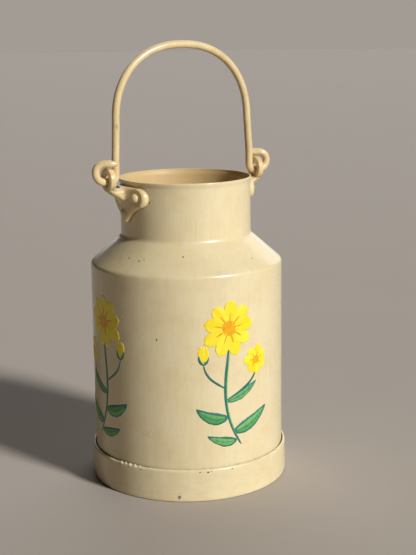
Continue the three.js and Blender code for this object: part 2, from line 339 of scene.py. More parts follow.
def lathed(path_mm: Array, sides: int, closed: bool) -> Surface:
    """Turns a path of (radius, height) about the Z axis: the point is (r cos a, r sin a, z).

    The first and last points close on the axis when the path isn't closed, as one pole each.

    Args:
        path_mm: the path, anticlockwise in (radius, height) so that the faces point out.
        sides: number of steps round the axis.
        closed: whether the path's last point joins its first.

    Returns:
        The surface, in metres.
    """
    path = (path_mm if closed else path_mm[1:-1]) * MM
    angle = np.arange(sides) * TURN / sides
    radius, height = path[:, :1], path[:, 1:]
    rings = np.stack(np.broadcast_arrays(radius * np.cos(angle), radius * np.sin(angle), height), axis=-1)
    if closed:
        return Surface(rings.reshape(-1, 3), [grid_faces(len(path), sides, wrap_rows=True)])
    start, end = np.array([[0.0, 0.0, path_mm[0, 1]], [0.0, 0.0, path_mm[-1, 1]]]) * MM
    return closed_tube(rings, start, end)


def closed_tube(rings: Array, start: Array, end: Array) -> Surface:
    """Joins rings of points into a tube that closes on one point at each end.

    Args:
        rings: shape (rings, points, 3). A ring runs counter-clockwise about the way to the next ring.
        start: the point that closes the first ring.
        end: the point that closes the last ring.

    Returns:
        The closed surface.
    """
    rows, columns = rings.shape[:2]
    column = np.arange(columns)
    nexts = (column + 1) % columns
    last = (rows - 1) * columns
    count = rows * columns
    faces = [
        grid_faces(rows, columns),
        np.stack([np.full(columns, count), nexts, column], axis=1),
        np.stack([last + column, last + nexts, np.full(columns, count + 1)], axis=1),
    ]
    return Surface(np.concatenate([rings.reshape(-1, 3), start[None], end[None]]), faces)


# ------------------------------------------------------------------ shader expressions


class Shader:
    """The node tree of one material, with methods that add nodes and return their outputs as values."""

    def __init__(self, name: str) -> None:
        """Starts a material that holds only its output and a Principled shader.

        Args:
            name: the material's name.
        """
        self.material = bpy.data.materials.new(name)
        self.material.use_nodes = True
        self.tree = self.material.node_tree
        self.tree.nodes.clear()
        output = self.tree.nodes.new("ShaderNodeOutputMaterial")
        self.surface = self.tree.nodes.new("ShaderNodeBsdfPrincipled")
        self.tree.links.new(self.surface.outputs["BSDF"], output.inputs["Surface"])

    def node(
        self, kind: str, settings: dict | None = None, output: str | int = 0, **inputs: object
    ) -> "Value":
        """Adds one node.

        Args:
            kind: the node's type.
            settings: its own settings, set before its sockets.
            output: name or number of the output that is returned.
            inputs: values or links of its sockets; i0, i1 and so on go by number, others by name with _ for
                a space.

        Returns:
            The output as a value.
        """
        made = self.tree.nodes.new(kind)
        for key, setting in (settings or {}).items():
            setattr(made, key, setting)
        for key, given in inputs.items():
            numbered = key[0] == "i" and key[1:].isdigit()
            socket = made.inputs[int(key[1:]) if numbered else key.replace("_", " ")]
            self.feed(socket, given)
        return Value(self, made.outputs[output])

    def feed(self, socket: bpy.types.NodeSocket, given: object) -> None:
        """Links a value to a socket, or sets a number or a colour on it.

        Args:
            socket: the input socket.
            given: a Value, a number or a tuple.
        """
        if isinstance(given, Value):
            self.tree.links.new(given.socket, socket)
        elif isinstance(given, tuple) and len(given) == 3 and socket.type == "RGBA":
            socket.default_value = (*given, 1.0)
        else:
            socket.default_value = given

    def place(self) -> "Value":
        """The point's Object coordinates."""
        return self.node("ShaderNodeTexCoord", output="Object")

    def noise(self, vector: "Value", grain: "Grain") -> "Value":
        """Noise from 0 to 1.

        Args:
            vector: the coordinates.
            grain: its scale and layers.

        Returns:
            The noise's value.
        """
        scale, detail, roughness = grain.value
        return self.node(
            "ShaderNodeTexNoise", {"noise_dimensions": "3D"}, "Fac",
            Vector=vector, Scale=scale, Detail=detail, Roughness=roughness,
        )

    def tint(self) -> "Value":
        """The mesh's own tint."""
        return self.node("ShaderNodeAttribute", {"attribute_name": "tint"}, "Fac")

    def mix(self, factor: object, a: object, b: object) -> "Value":
        """A colour between two others, by the sockets that a Mix node has for colours.

        Args:
            factor: 0 gives a and 1 gives b.
            a: the first colour.
            b: the second colour.

        Returns:
            The mixed colour.
        """
        settings = {"data_type": "RGBA", "clamp_factor": True}
        return self.node("ShaderNodeMix", settings, 2, i0=factor, i6=a, i7=b)

    def finish(
        self, height: "Value", distance: float, strength: float = 0.8, **sockets: object
    ) -> bpy.types.Material:
        """Feeds the Principled shader and gives it a bump.

        Args:
            height: the bump's height from 0 to 1.
            distance: how deep a height of 1 is, in metres.
            strength: the bump's strength.
            sockets: values or links of the shader's sockets, with _ for a space.

        Returns:
            The material.
        """
        for key, given in sockets.items():
            self.feed(self.surface.inputs[key.replace("_", " ")], given)
        bump = {"Height": height, "Distance": distance, "Strength": strength}
        self.feed(self.surface.inputs["Normal"], self.node("ShaderNodeBump", None, "Normal", **bump))
        return self.material


class Value:
    """A socket's value, on which operators and methods add Math and Vector Math nodes."""

    def __init__(self, shader: Shader, socket: bpy.types.NodeSocket) -> None:
        """Wraps an output socket.

        Args:
            shader: the node tree that it belongs to.
            socket: the output socket.
        """
        self.shader = shader
        self.socket = socket

    def math(self, operation: str, *others: object, kind: str = "Math", output: str = "Value") -> "Value":
        """Adds a Math node on this value, or another kind of node with an operation.

        Args:
            operation: the node's operation.
            others: its further values.
            kind: the node's type, without its first part.
            output: the output that is returned.

        Returns:
            The result.
        """
        inputs = {f"i{n}": given for n, given in enumerate((self, *others))}
        return self.shader.node(f"ShaderNode{kind}", {"operation": operation}, output, **inputs)

    def vector(self, operation: str, *others: object, output: str = "Vector") -> "Value":
        """Adds a Vector Math node on this value; its output is Value where the result is a number."""
        return self.math(operation, *others, kind="VectorMath", output=output)

    def __add__(self, other: object) -> "Value":
        """The sum."""
        return self.math("ADD", other)

    __radd__ = __add__

    def __sub__(self, other: object) -> "Value":
        """The difference."""
        return self.math("SUBTRACT", other)

    def __rsub__(self, other: object) -> "Value":
        """The difference from a number."""
        return (self * -1.0) + other

    def __mul__(self, other: object) -> "Value":
        """The product."""
        return self.math("MULTIPLY", other)

    __rmul__ = __mul__

    def between(self, low: float, high: float) -> "Value":
        """A smooth rise from 0 at low to 1 at high, or a fall where low is the larger.

        Args:
            low: where the result is 0.
            high: where the result is 1.

        Returns:
            The result.
        """
        if low > high:
            return 1.0 - self.between(high, low)
        return self.shader.node(
            "ShaderNodeMapRange", {"interpolation_type": "SMOOTHSTEP"},
            Value=self, From_Min=low, From_Max=high, To_Min=0.0, To_Max=1.0,
        )

    def axis(self, name: str) -> "Value":
        """One coordinate, X, Y or Z, of a vector."""
        return self.shader.node("ShaderNodeSeparateXYZ", None, name, Vector=self)

    def scaled(self, x: float, y: float, z: float) -> "Value":
        """A vector with each coordinate multiplied by its own number."""
        return self.vector("MULTIPLY", (x, y, z))

    def distance(self, point: tuple[float, float, float]) -> "Value":
        """The distance of a vector from a point."""
        return self.vector("DISTANCE", point, output="Value")


# ------------------------------------------------------------------ finishes

Colour = tuple[float, float, float]


class Grain(Enum):
    """The noises of the finishes: lumps for each unit, number of finer layers and their strength."""

    HAIRS = (520.0, 4.0, 0.62)
    DABS = (260.0, 3.0, 0.6)
    LUMPS = (95.0, 3.0, 0.55)
    MOTTLE = (26.0, 4.0, 0.6)
    FINE = (900.0, 2.0, 0.5)
    FADED = (17.0, 3.0, 0.6)
    GRIME = (430.0, 3.0, 0.6)
    RAGGED_EDGE = (620.0, 3.0, 0.65)
    DIRT_PATCHES = (70.0, 3.0, 0.6)
    STROKE_HAIRS = (1.0, 3.0, 0.6)
    STROKE_CLOUD = (210.0, 3.0, 0.6)
    FLOOR_CLOUD = (3.0, 4.0, 0.55)
    FLOOR_GRAIN = (400.0, 2.0, 0.5)


def srgb(red: int, green: int, blue: int) -> Colour:
    """A screen colour from 0 to 255 as a linear one from 0 to 1.

    Args:
        red: the red part.
        green: the green part.
        blue: the blue part.

    Returns:
        The linear colour.
    """
    def linear(part: int) -> float:
        """One part, by the screen's own curve."""
        c = part / 255.0
        return c / 12.92 if c <= 0.04045 else ((c + 0.055) / 1.055) ** 2.4

    return linear(red), linear(green), linear(blue)


@dataclass(frozen=True)
class Chip:
    """A small place where the paint is chipped, stained or lumped; a pale lump may carry a painted highlight.

    Args:
        azimuth: angle round the can's axis in degrees.
        height_mm: height above the floor.
        radius_mm: distance of the surface from the axis.
        size_mm: the mark's own radius.
        colour: what shows there.
        stretch: how many times taller than wide the mark is.
        depth: how deep it lies in the bump's height, negative for a lump that stands proud.
        ragged: how far its edge wanders, in its own radii.
        whole: share of its radius over which the mark is whole.
    """

    azimuth: float
    height_mm: float
    radius_mm: float
    size_mm: float
    colour: Colour
    stretch: float = 1.0
    depth: float = 0.9
    ragged: float = 1.4
    whole: float = 0.72

    def mask(self, place: Value, edge_noise: Value) -> Value:
        """1 in the mark and 0 round it, with a ragged edge.

        Args:
            place: the Object coordinates.
            edge_noise: noise from 0 to 1 that makes the edge ragged.

        Returns:
            The mask.
        """
        angle = math.radians(self.azimuth)
        centre = (
            self.radius_mm * MM * math.cos(angle),
            self.radius_mm * MM * math.sin(angle),
            self.height_mm * MM / self.stretch,
        )
        away = place.scaled(1.0, 1.0, 1.0 / self.stretch).distance(centre)
        edge = self.size_mm * MM
        return (away + (edge_noise - 0.5) * edge * self.ragged).between(edge, edge * self.whole)


@dataclass(frozen=True)
class Seam:
    """A circle about the can's axis along which dirt gathers, broken up by noise.

    Args:
        radius_mm: the circle's radius.
        height_mm: its height above the floor.
        width_mm: how far the dirt reaches from it.
        colour: the dirt's colour.
        depth: how deep it lies in the bump's height.
        ragged: how far its edge wanders, in its own widths.
        patchy: how far wide patches move its edge, in its own widths.
        bare: the patches' noise at which they move the edge neither way.
        whole: share of its width over which the dirt is whole.
    """

    radius_mm: float
    height_mm: float
    width_mm: float
    colour: Colour
    depth: float = 0.5
    ragged: float = 1.5
    patchy: float = 3.0
    bare: float = 0.52
    whole: float = 0.4

    def mask(self, place: Value, edge_noise: Value) -> Value:
        """1 by the circle and 0 away from it, by the distance in the plane of (radius, height).

        Args:
            place: the Object coordinates.
            edge_noise: noise from 0 to 1 that breaks it up.

        Returns:
            The mask.
        """
        radius = place.scaled(1.0, 1.0, 0.0).vector("LENGTH", output="Value")
        out, up = radius - self.radius_mm * MM, place.axis("Z") - self.height_mm * MM
        away = (out * out + up * up).math("SQRT")
        width = self.width_mm * MM
        patches = place.shader.noise(place, Grain.DIRT_PATCHES)
        moved = (edge_noise - 0.5) * width * self.ragged + (self.bare - patches) * width * self.patchy
        return (away + moved).between(width, width * self.whole)


class Coat(Enum):
    """Which way the brush ran: how closely hair marks follow each other round the can and up it, if any."""

    DOWN = (0.11, 0.05)
    AROUND = (0.012, 1.0)
    DABBED = None


@dataclass(frozen=True)
class CreamPaint:
    """Gloss cream paint put on by brush, with hair marks, lumps, mottling and a few chips.

    Args:
        name: the material's name.
        coat: the way the brush ran.
        light: its lighter tone.
        deep: its deeper tone, where it lies thick.
        roughness: its mean roughness.
        chips: the marks on it.
        seams: where dirt gathers in it.
        inner: the coat's tone where the mesh's tint is 1, or None where the mesh has no tint. On the can it
            is the inside's own tone; on the ears the tint is the depth of a recess and this tone is painted
            shade.
        relief_mm: depth of the brush marks.
        gloss: strength of the clear coat, where the tint is 0.
        inner_gloss_loss: how much weaker it is where the tint is 1.
        inner_dullness: how much rougher the coat is there.
        inner_cover: share of the inner tone there, before the hair marks.
        inner_hairs: how much the hair marks add to that share.
        deepening: the deeper tone's greatest share.
        faded: the tone of its faint wide patches, and their greatest share.
        grimy: the tone of its specks of dirt, and their greatest share.
        mark_dullness: how much rougher the chips and the dirt are.
    """

    name: str
    coat: Coat
    light: Colour = srgb(235, 220, 179)
    deep: Colour = srgb(222, 201, 153)
    roughness: float = 0.29
    chips: tuple[Chip, ...] = ()
    seams: tuple[Seam, ...] = ()
    inner: Colour | None = None
    relief_mm: float = 0.05
    gloss: float = 0.30
    inner_gloss_loss: float = 0.25
    inner_dullness: float = 0.22
    inner_cover: float = 0.72
    inner_hairs: float = 0.4
    deepening: float = 0.8
    faded: tuple[Colour, float] = (srgb(216, 200, 166), 0.10)
    grimy: tuple[Colour, float] = (srgb(132, 104, 62), 0.5)
    mark_dullness: float = 0.22

    def material(self) -> bpy.types.Material:
        """Builds the material on Object coordinates.

        Hair marks are noise drawn out along the brush; lumps, mottling, patches and grime are noise on the
        plain coordinates. Each tone's share is a weighted sum of them, raised from 0 to 1 between two levels.

        Returns:
            The material.
        """
        shader = Shader(self.name)
        place = shader.place()
        hairs = self.hair_marks(place)
        lumps = shader.noise(place, Grain.LUMPS)
        mottle = shader.noise(place, Grain.MOTTLE)
        fine = shader.noise(place, Grain.FINE)
        tone = (hairs * 0.34 + mottle * 0.42 + lumps * 0.24).between(0.33, 0.68)
        colour = shader.mix(tone * self.deepening, self.light, self.deep)
        dull, gloss = 0.0, self.gloss
        # Where the tint is 1 the inner tone is mixed in: the can's own inside colour, or painted shade in the
        # ears' recesses.
        if self.inner:
            side = shader.tint()
            colour = shader.mix(side * (self.inner_cover + hairs * self.inner_hairs), colour, self.inner)
            dull, gloss = side * self.inner_dullness, self.gloss - side * self.inner_gloss_loss
        patches = shader.noise(place.scaled(1.0, 1.0, 0.7), Grain.FADED).between(0.56, 0.74)
        colour = shader.mix(patches * self.faded[1], colour, self.faded[0])
        grime = (shader.noise(place, Grain.GRIME) * 0.62 + mottle * 0.38).between(0.655, 0.70)
        colour = shader.mix(grime * self.grimy[1], colour, self.grimy[0])
        rough = dull + self.roughness + (hairs - 0.5) * 0.10 + (lumps - 0.5) * 0.12 + grime * 0.25
        height = hairs * 0.55 + lumps * 0.35 + fine * 0.10
        if self.chips or self.seams:
            edge_noise = shader.noise(place, Grain.RAGGED_EDGE)
            for mark in (*self.seams, *self.chips):
                mask = mark.mask(place, edge_noise)
                colour = shader.mix(mask, colour, mark.colour)
                rough = rough + mask * self.mark_dullness
                height = height - mask * mark.depth
        return shader.finish(
            height, self.relief_mm * MM, Base_Color=colour, Roughness=rough, IOR=1.5,
            Coat_Weight=gloss, Coat_Roughness=0.10,
        )

    def hair_marks(self, place: Value) -> Value:
        """Fine noise drawn out along the brush's way, read at (a x/r, a y/r, b z) or at the place itself.

        Args:
            place: the Object coordinates.

        Returns:
            The marks, from 0 to 1.
        """
        if self.coat is Coat.DABBED:
            return place.shader.noise(place, Grain.DABS)
        around, along = self.coat.value
        ring = place.scaled(1.0, 1.0, 0.0).vector("NORMALIZE").scaled(around, around, 0.0)
        return place.shader.noise(ring.vector("ADD", place.scaled(0.0, 0.0, along)), Grain.HAIRS)


@dataclass(frozen=True)
class ArtistPaint:
    """Flower paint laid on in single brush strokes over the cream coat.

    It reads each stroke's own UV map, u along the stroke and v across it, and its own tint.

    Args:
        name: the material's name.
        thin: its tone where the brush left little.
        thick: its tone where the paint lies thick.
        roughness: its mean roughness.
        relief_mm: depth of the hair marks.
    """

    name: str
    thin: Colour
    thick: Colour
    roughness: float = 0.42
    relief_mm: float = 0.08

    def material(self) -> bpy.types.Material:
        """Builds the material: hair marks run along u, and the tint shifts the tone from stroke to stroke.

        Returns:
            The material.
        """
        shader = Shader(self.name)
        way = shader.node("ShaderNodeUVMap", {"uv_map": "UVMap"}).scaled(90.0, 2600.0, 1.0)
        hairs = shader.noise(way, Grain.STROKE_HAIRS)
        cloud = shader.noise(shader.place(), Grain.STROKE_CLOUD)
        tone = (hairs * 0.45 + cloud * 0.35 + shader.tint() * 0.5 - 0.15).between(0.2, 0.85)
        colour = shader.mix(tone, self.thin, self.thick)
        rough = self.roughness + (hairs - 0.5) * 0.14
        return shader.finish(
            hairs * 0.7 + cloud * 0.3, self.relief_mm * MM, Base_Color=colour, Roughness=rough, IOR=1.48
        )


# ------------------------------------------------------------------ the can and its foot hoop


@dataclass
class Can:
    """The drawn and spun shell: bottom, body, sloping shoulder, neck and mouth. Sizes in millimetres."""

    wall: float = 2.2
    body_radius: float = 110.0
    base_height: float = 3.0
    base_corner: float = 6.0
    kick_radius: float = 88.0
    kick_height: float = 6.0
    kick_run: float = 8.0
    kick_round: float = 5.0
    body_top: float = 252.5
    shoulder_rise: float = 0.88
    shoulder_round: float = 6.0
    neck_radius: float = 74.5
    neck_round: float = 7.0
    mouth_height: float = 348.7
    lip_radius: float = 75.6
    lip_height: float = 6.0
    lip_bend: float = 8.0
    lip_round: float = 0.9
    sides: int = 232
    ring_spacing: float = 4.5
    dent_depth: float = 0.16
    dented: tuple[float, float] = (44.0, 296.0)
    dent_fade: float = 12.0

    def outside(self) -> list[Corner]:
        """Corners (radius, height, round) of the outer line, from under the bottom's middle to the mouth."""
        shoulder_end = self.body_top + (self.body_radius - self.neck_radius) * self.shoulder_rise
        half_kick = self.kick_run / 2.0
        return [
            (0.0, self.base_height + self.kick_height, 0.0),
            (self.kick_radius - half_kick, self.base_height + self.kick_height, self.kick_round),
            (self.kick_radius + half_kick, self.base_height, self.kick_round),
            (self.body_radius, self.base_height, self.base_corner),
            (self.body_radius, self.body_top, self.shoulder_round),
            (self.neck_radius, shoulder_end, self.neck_round),
            (self.neck_radius, self.mouth_height - self.lip_height, self.lip_bend),
            (self.lip_radius, self.mouth_height - self.lip_height / 3.0, self.lip_bend),
            (self.lip_radius, self.mouth_height, 0.0),
        ]

    def shell(self) -> Surface:
        """The whole wall turned about the axis: the outer line, the rounded lip and the line inside it.

        Each point then moves along its radius as beaten() says, nearly the same inside and out.

        Returns:
            The closed surface, with a tint of 1 on the inside and 0 on the outside.
        """
        outside = self.outside()
        outer = rounded_path(outside)[:-1]
        inner = rounded_path(moved_left(outside, self.wall))[:-1][::-1]
        top, bend = self.mouth_height - self.lip_round, self.lip_round
        lip = np.concatenate([
            arc_points(self.lip_radius - bend, top, bend, 0.0, 90.0, 5),
            arc_points(self.lip_radius - self.wall + bend, top, bend, 90.0, 180.0, 5),
        ])
        path = resampled(np.concatenate([outer, lip, inner]), self.ring_spacing)
        path[[0, -1], 0] = 0.0
        surface = lathed(path, self.sides, closed=False)
        surface.points = self.beaten(surface.points)
        inside = (np.arange(len(path)) > np.argmax(path[:, 1])).astype(float)
        surface.tint = np.concatenate([np.repeat(inside[1:-1], self.sides), inside[[0, -1]]])
        return surface

    def beaten(self, points: Array) -> Array:
        """Points on or near the wall, moved along their radius by noise of two sizes, as on a knocked wall.

        Args:
            points: rows (x, y, z) in metres.

        Returns:
            The moved points.
        """
        low, high = self.dented
        height = points[:, 2] / MM
        fade = np.clip((height - low) / self.dent_fade, 0.0, 1.0)
        fade = fade * np.clip((high - height) / self.dent_fade, 0.0, 1.0)
        wide = value_noise(points / MM * [1.0, 1.0, 0.7], Lattice.WIDE_DENT)
        small = value_noise(points / MM, Lattice.SMALL_DENT)
        push = fade * self.dent_depth * MM * (0.8 * wide + 0.3 * small)
        radius = np.maximum(np.hypot(points[:, 0], points[:, 1]), TINY)
        moved = points.copy()
        moved[:, :2] *= (1.0 + push / radius)[:, None]
        return moved


@dataclass
class FootHoop:
    """The band shrunk round the bottom of the body, with the lip that the can stands on. Millimetres."""

    body_radius: float = 110.0
    radius: float = 114.0
    height: float = 37.0
    top_round: float = 2.6
    inner_round: float = 0.8
    foot_round: float = 1.5
    lip_radius: float = 101.0
    base_height: float = 3.0
    base_corner: float = 6.0
    clearance: float = 0.3
    groove_width: float = 1.1
    groove_depth: float = 4.5
    sides: int = 720
    ring_spacing: float = 3.0
    uneven_above: float = 20.0
    waviness: float = 0.75
    lump_depth: float = 0.12
    lumped_from: tuple[float, float] = (112.0, 113.5)
    runs: tuple[tuple[float, float, float], ...] = (
        (-165.0, 1.9, 1.0), (-161.8, 1.3, 1.3), (-158.5, 1.8, 1.1), (-155.0, 1.4, 1.2), (-151.8, 1.3, 0.7),
        (-112.0, 1.8, 0.4), (-98.0, 1.4, 0.5), (-60.0, 2.0, 0.5), (35.0, 1.6, 0.7), (118.0, 1.8, 0.6),
    )

    def band(self) -> Surface:
        """The hoop's outline turned about the axis, with a top edge that is uneven where paint has run.

        A point sinks by noise on (x, y), in full at the top edge and not at all at the foot, and rises by
        h exp(-(d / w)^2) at each run (azimuth, w, h), with d the way round the hoop to it. The outer face is
        then pushed in a little by lumps, from nothing at the first radius of lumped_from to in full at the
        second.

        Returns:
            The closed surface.
        """
        corner_radius = self.body_radius - self.base_corner
        corner_height = self.base_height + self.base_corner
        groove, inner = self.body_radius + self.groove_width, self.inner_round
        top, edge = self.height - self.top_round, self.radius - self.top_round
        path = np.concatenate([
            [[self.lip_radius, 0.0]],
            arc_points(self.radius - self.foot_round, self.foot_round, self.foot_round, -90.0, 0.0, 5),
            arc_points(edge, top, self.top_round, 0.0, 90.0, 8),
            arc_points(groove + inner, self.height - inner, inner, 90.0, 180.0, 4),
            [[groove, self.height - self.groove_depth]],
            [[self.body_radius + self.clearance, self.height - self.groove_depth - 1.0]],
            arc_points(corner_radius, corner_height, self.base_corner + self.clearance, 0.0, -90.0, 8),
            [[self.lip_radius, self.base_height - self.clearance]],
        ])
        dense = resampled(np.concatenate([path, path[:1]]), self.ring_spacing)[:-1]
        surface = lathed(dense, self.sides, closed=True)
        points = surface.points / MM
        share = np.clip((points[:, 2] - self.uneven_above) / (self.height - self.uneven_above), 0.0, 1.0) ** 2
        ring = points * [1.0, 1.0, 0.0]
        sag = 0.45 * value_noise(ring, Lattice.WIDE_SAG) + 0.55 * value_noise(ring, Lattice.SMALL_SAG)
        points[:, 2] += share * self.waviness * np.minimum(sag, 0.0)
        azimuth, width, height = np.array(self.runs).T
        turn = np.arctan2(points[:, 1], points[:, 0])[:, None] - np.radians(azimuth)
        away = self.radius * np.abs((turn + math.pi) % TURN - math.pi)
        points[:, 2] += share**4 * (height * np.exp(-((away / width) ** 2))).sum(axis=1)
        near, far = self.lumped_from
        outer = np.clip((np.hypot(points[:, 0], points[:, 1]) - near) / (far - near), 0.0, 1.0)
        push = outer * self.lump_depth * np.minimum(value_noise(points, Lattice.HOOP_LUMP), 0.0)
        points[:, :2] *= (1.0 + push / self.radius)[:, None]
        surface.points = points * MM
        return surface


# ------------------------------------------------------------------ ears and rivets


def smooth_union(a: Array, b: Array, width: float) -> Array:
    """The lower of two distances, blended where they differ by less than the width.

    With h the clamped share 0.5 + 0.5 (b - a) / width, it is b + (a - b) h - width h (1 - h).

    Args:
        a: distances to one shape.
        b: distances to the other.
        width: the blend's width.

    Returns:
        Distances to the joined shape, with a fillet between the two.
    """
    share = np.clip(0.5 + 0.5 * (b - a) / width, 0.0, 1.0)
    return b + (a - b) * share - width * share * (1.0 - share)


def rounded_box_distance(offsets: list[Array], edge: float) -> Array:
    """Distance to a box with rounded edges, from the distances past each pair of its faces.

    It is the length of the positive parts plus the largest negative one, less the edge's radius.

    Args:
        offsets: for each direction, how far the point lies past the face, negative inside.
        edge: radius of the edges.

    Returns:
        The distances.
    """
    q = np.stack(offsets) + edge
    return np.sqrt((np.maximum(q, 0.0) ** 2).sum(axis=0)) + np.minimum(q.max(axis=0), 0.0) - edge


def polygon_distance(points: Array, polygon: Array) -> Array:
    """Signed distance to a closed polygon: the nearest side's, negative where a ray crosses an odd count.

    Args:
        points: rows (a, b).
        polygon: the polygon's corners.

    Returns:
        One distance for each row.
    """
    result = np.empty(len(points))
    ends = np.roll(polygon, -1, axis=0)
    side = ends - polygon
    rows_at_once = 8000
    for part in np.array_split(np.arange(len(points)), max(1, len(points) // rows_at_once)):
        away = points[part, None, :] - polygon[None]
        along = np.clip((away * side).sum(-1) / (side**2).sum(-1), 0.0, 1.0)
        near = np.linalg.norm(away - along[..., None] * side, axis=-1).min(axis=1)
        above = points[part, None, 1] >= polygon[None, :, 1]
        above_end = points[part, None, 1] >= ends[None, :, 1]
        turn = side[None, :, 0] * away[..., 1] - side[None, :, 1] * away[..., 0]
        crossing = (above != above_end) & ((turn > 0) == above)
        result[part] = np.where(crossing.sum(axis=1) % 2 == 1, -near, near)
    return result


def slope_of(distance: Callable[[Array], Array], points: Array, reach: float = 0.05) -> Array:
    """The distance's gradient: half its change from -reach to +reach along each axis, over the reach.

    Args:
        distance: a function of rows (x, y, z) that gives one distance for each.
        points: rows (x, y, z).
        reach: how far to either side it is read.

    Returns:
        One gradient (x, y, z) for each row.
    """
    change = [distance(points + reach * axis) - distance(points - reach * axis) for axis in np.eye(3)]
    return np.stack(change, axis=1) / (2.0 * reach)


def surface_net(
    distance: Callable[[Array], Array], low: Array, high: Array, pitch: float
) -> tuple[Array, Array]:
    """Meshes the zero level of a distance on a grid of cells, one vertex for each cell that it crosses.

    A vertex is the mean of the points where the level crosses its cell's edges, then moves twice along the
    gradient by the distance that is left, by half a cell at most and as if the gradient's length were 0.5
    where it is less. A face joins the four cells round each crossed edge.

    Args:
        distance: a function of rows (x, y, z) that gives one distance for each.
        low: the grid's lowest corner.
        high: its highest corner.
        pitch: the cells' size.

    Returns:
        The points and the four-sided faces, which point towards positive distances.
    """
    counts = np.ceil((high - low) / pitch).astype(int) + 1
    axes = [low[a] + pitch * np.arange(counts[a]) for a in range(3)]
    grid = np.stack(np.meshgrid(*axes, indexing="ij"), axis=-1)
    value = distance(grid.reshape(-1, 3)).reshape(counts)
    inside = value < 0.0
    cells = counts - 1
    total, number = np.zeros((*cells, 3)), np.zeros(cells)
    crossed = []
    for a in range(3):
        b, c = (a + 1) % 3, (a + 2) % 3
        first = tuple(slice(0, -1) if k == a else slice(None) for k in range(3))
        second = tuple(slice(1, None) if k == a else slice(None) for k in range(3))
        cross = inside[first] != inside[second]
        step = np.where(cross, value[first] / np.where(cross, value[first] - value[second], 1.0), 0.0)
        point = grid[first].copy()
        point[..., a] += step * pitch
        for db in (0, 1):
            for dc in (0, 1):
                shifted = [slice(None)] * 3
                shifted[b], shifted[c] = slice(db, cells[b] + db), slice(dc, cells[c] + dc)
                share = cross[tuple(shifted)]
                total += np.where(share[..., None], point[tuple(shifted)], 0.0)
                number += share
        crossed.append((a, b, c, cross, inside[first]))
    active = number > 0
    index = np.full(cells, -1)
    index[active] = np.arange(active.sum())
    points = total[active] / number[active][:, None]
    faces = []
    for a, b, c, cross, starts_inside in crossed:
        place = np.argwhere(cross)
        kept = (place[:, b] > 0) & (place[:, b] < cells[b]) & (place[:, c] > 0) & (place[:, c] < cells[c])
        place = place[kept]
        ring = []
        for db, dc in ((1, 1), (0, 1), (0, 0), (1, 0)):
            cell = place.copy()
            cell[:, b] -= db
            cell[:, c] -= dc
            ring.append(index[cell[:, 0], cell[:, 1], cell[:, 2]])
        quad = np.stack(ring, axis=1)
        outwards = starts_inside[place[:, 0], place[:, 1], place[:, 2]]
        faces.append(np.where(outwards[:, None], quad, quad[:, ::-1]))
    moves, least_slope, furthest = 2, 0.5, 0.5 * pitch
    for _ in range(moves):
        here, slope = distance(points), slope_of(distance, points)
        move = -(here / np.maximum((slope**2).sum(axis=1), least_slope**2))[:, None] * slope
        length = np.maximum(np.linalg.norm(move, axis=1, keepdims=True), TINY)
        points = points + move * np.minimum(1.0, furthest / length)
    return points, np.concatenate(faces)


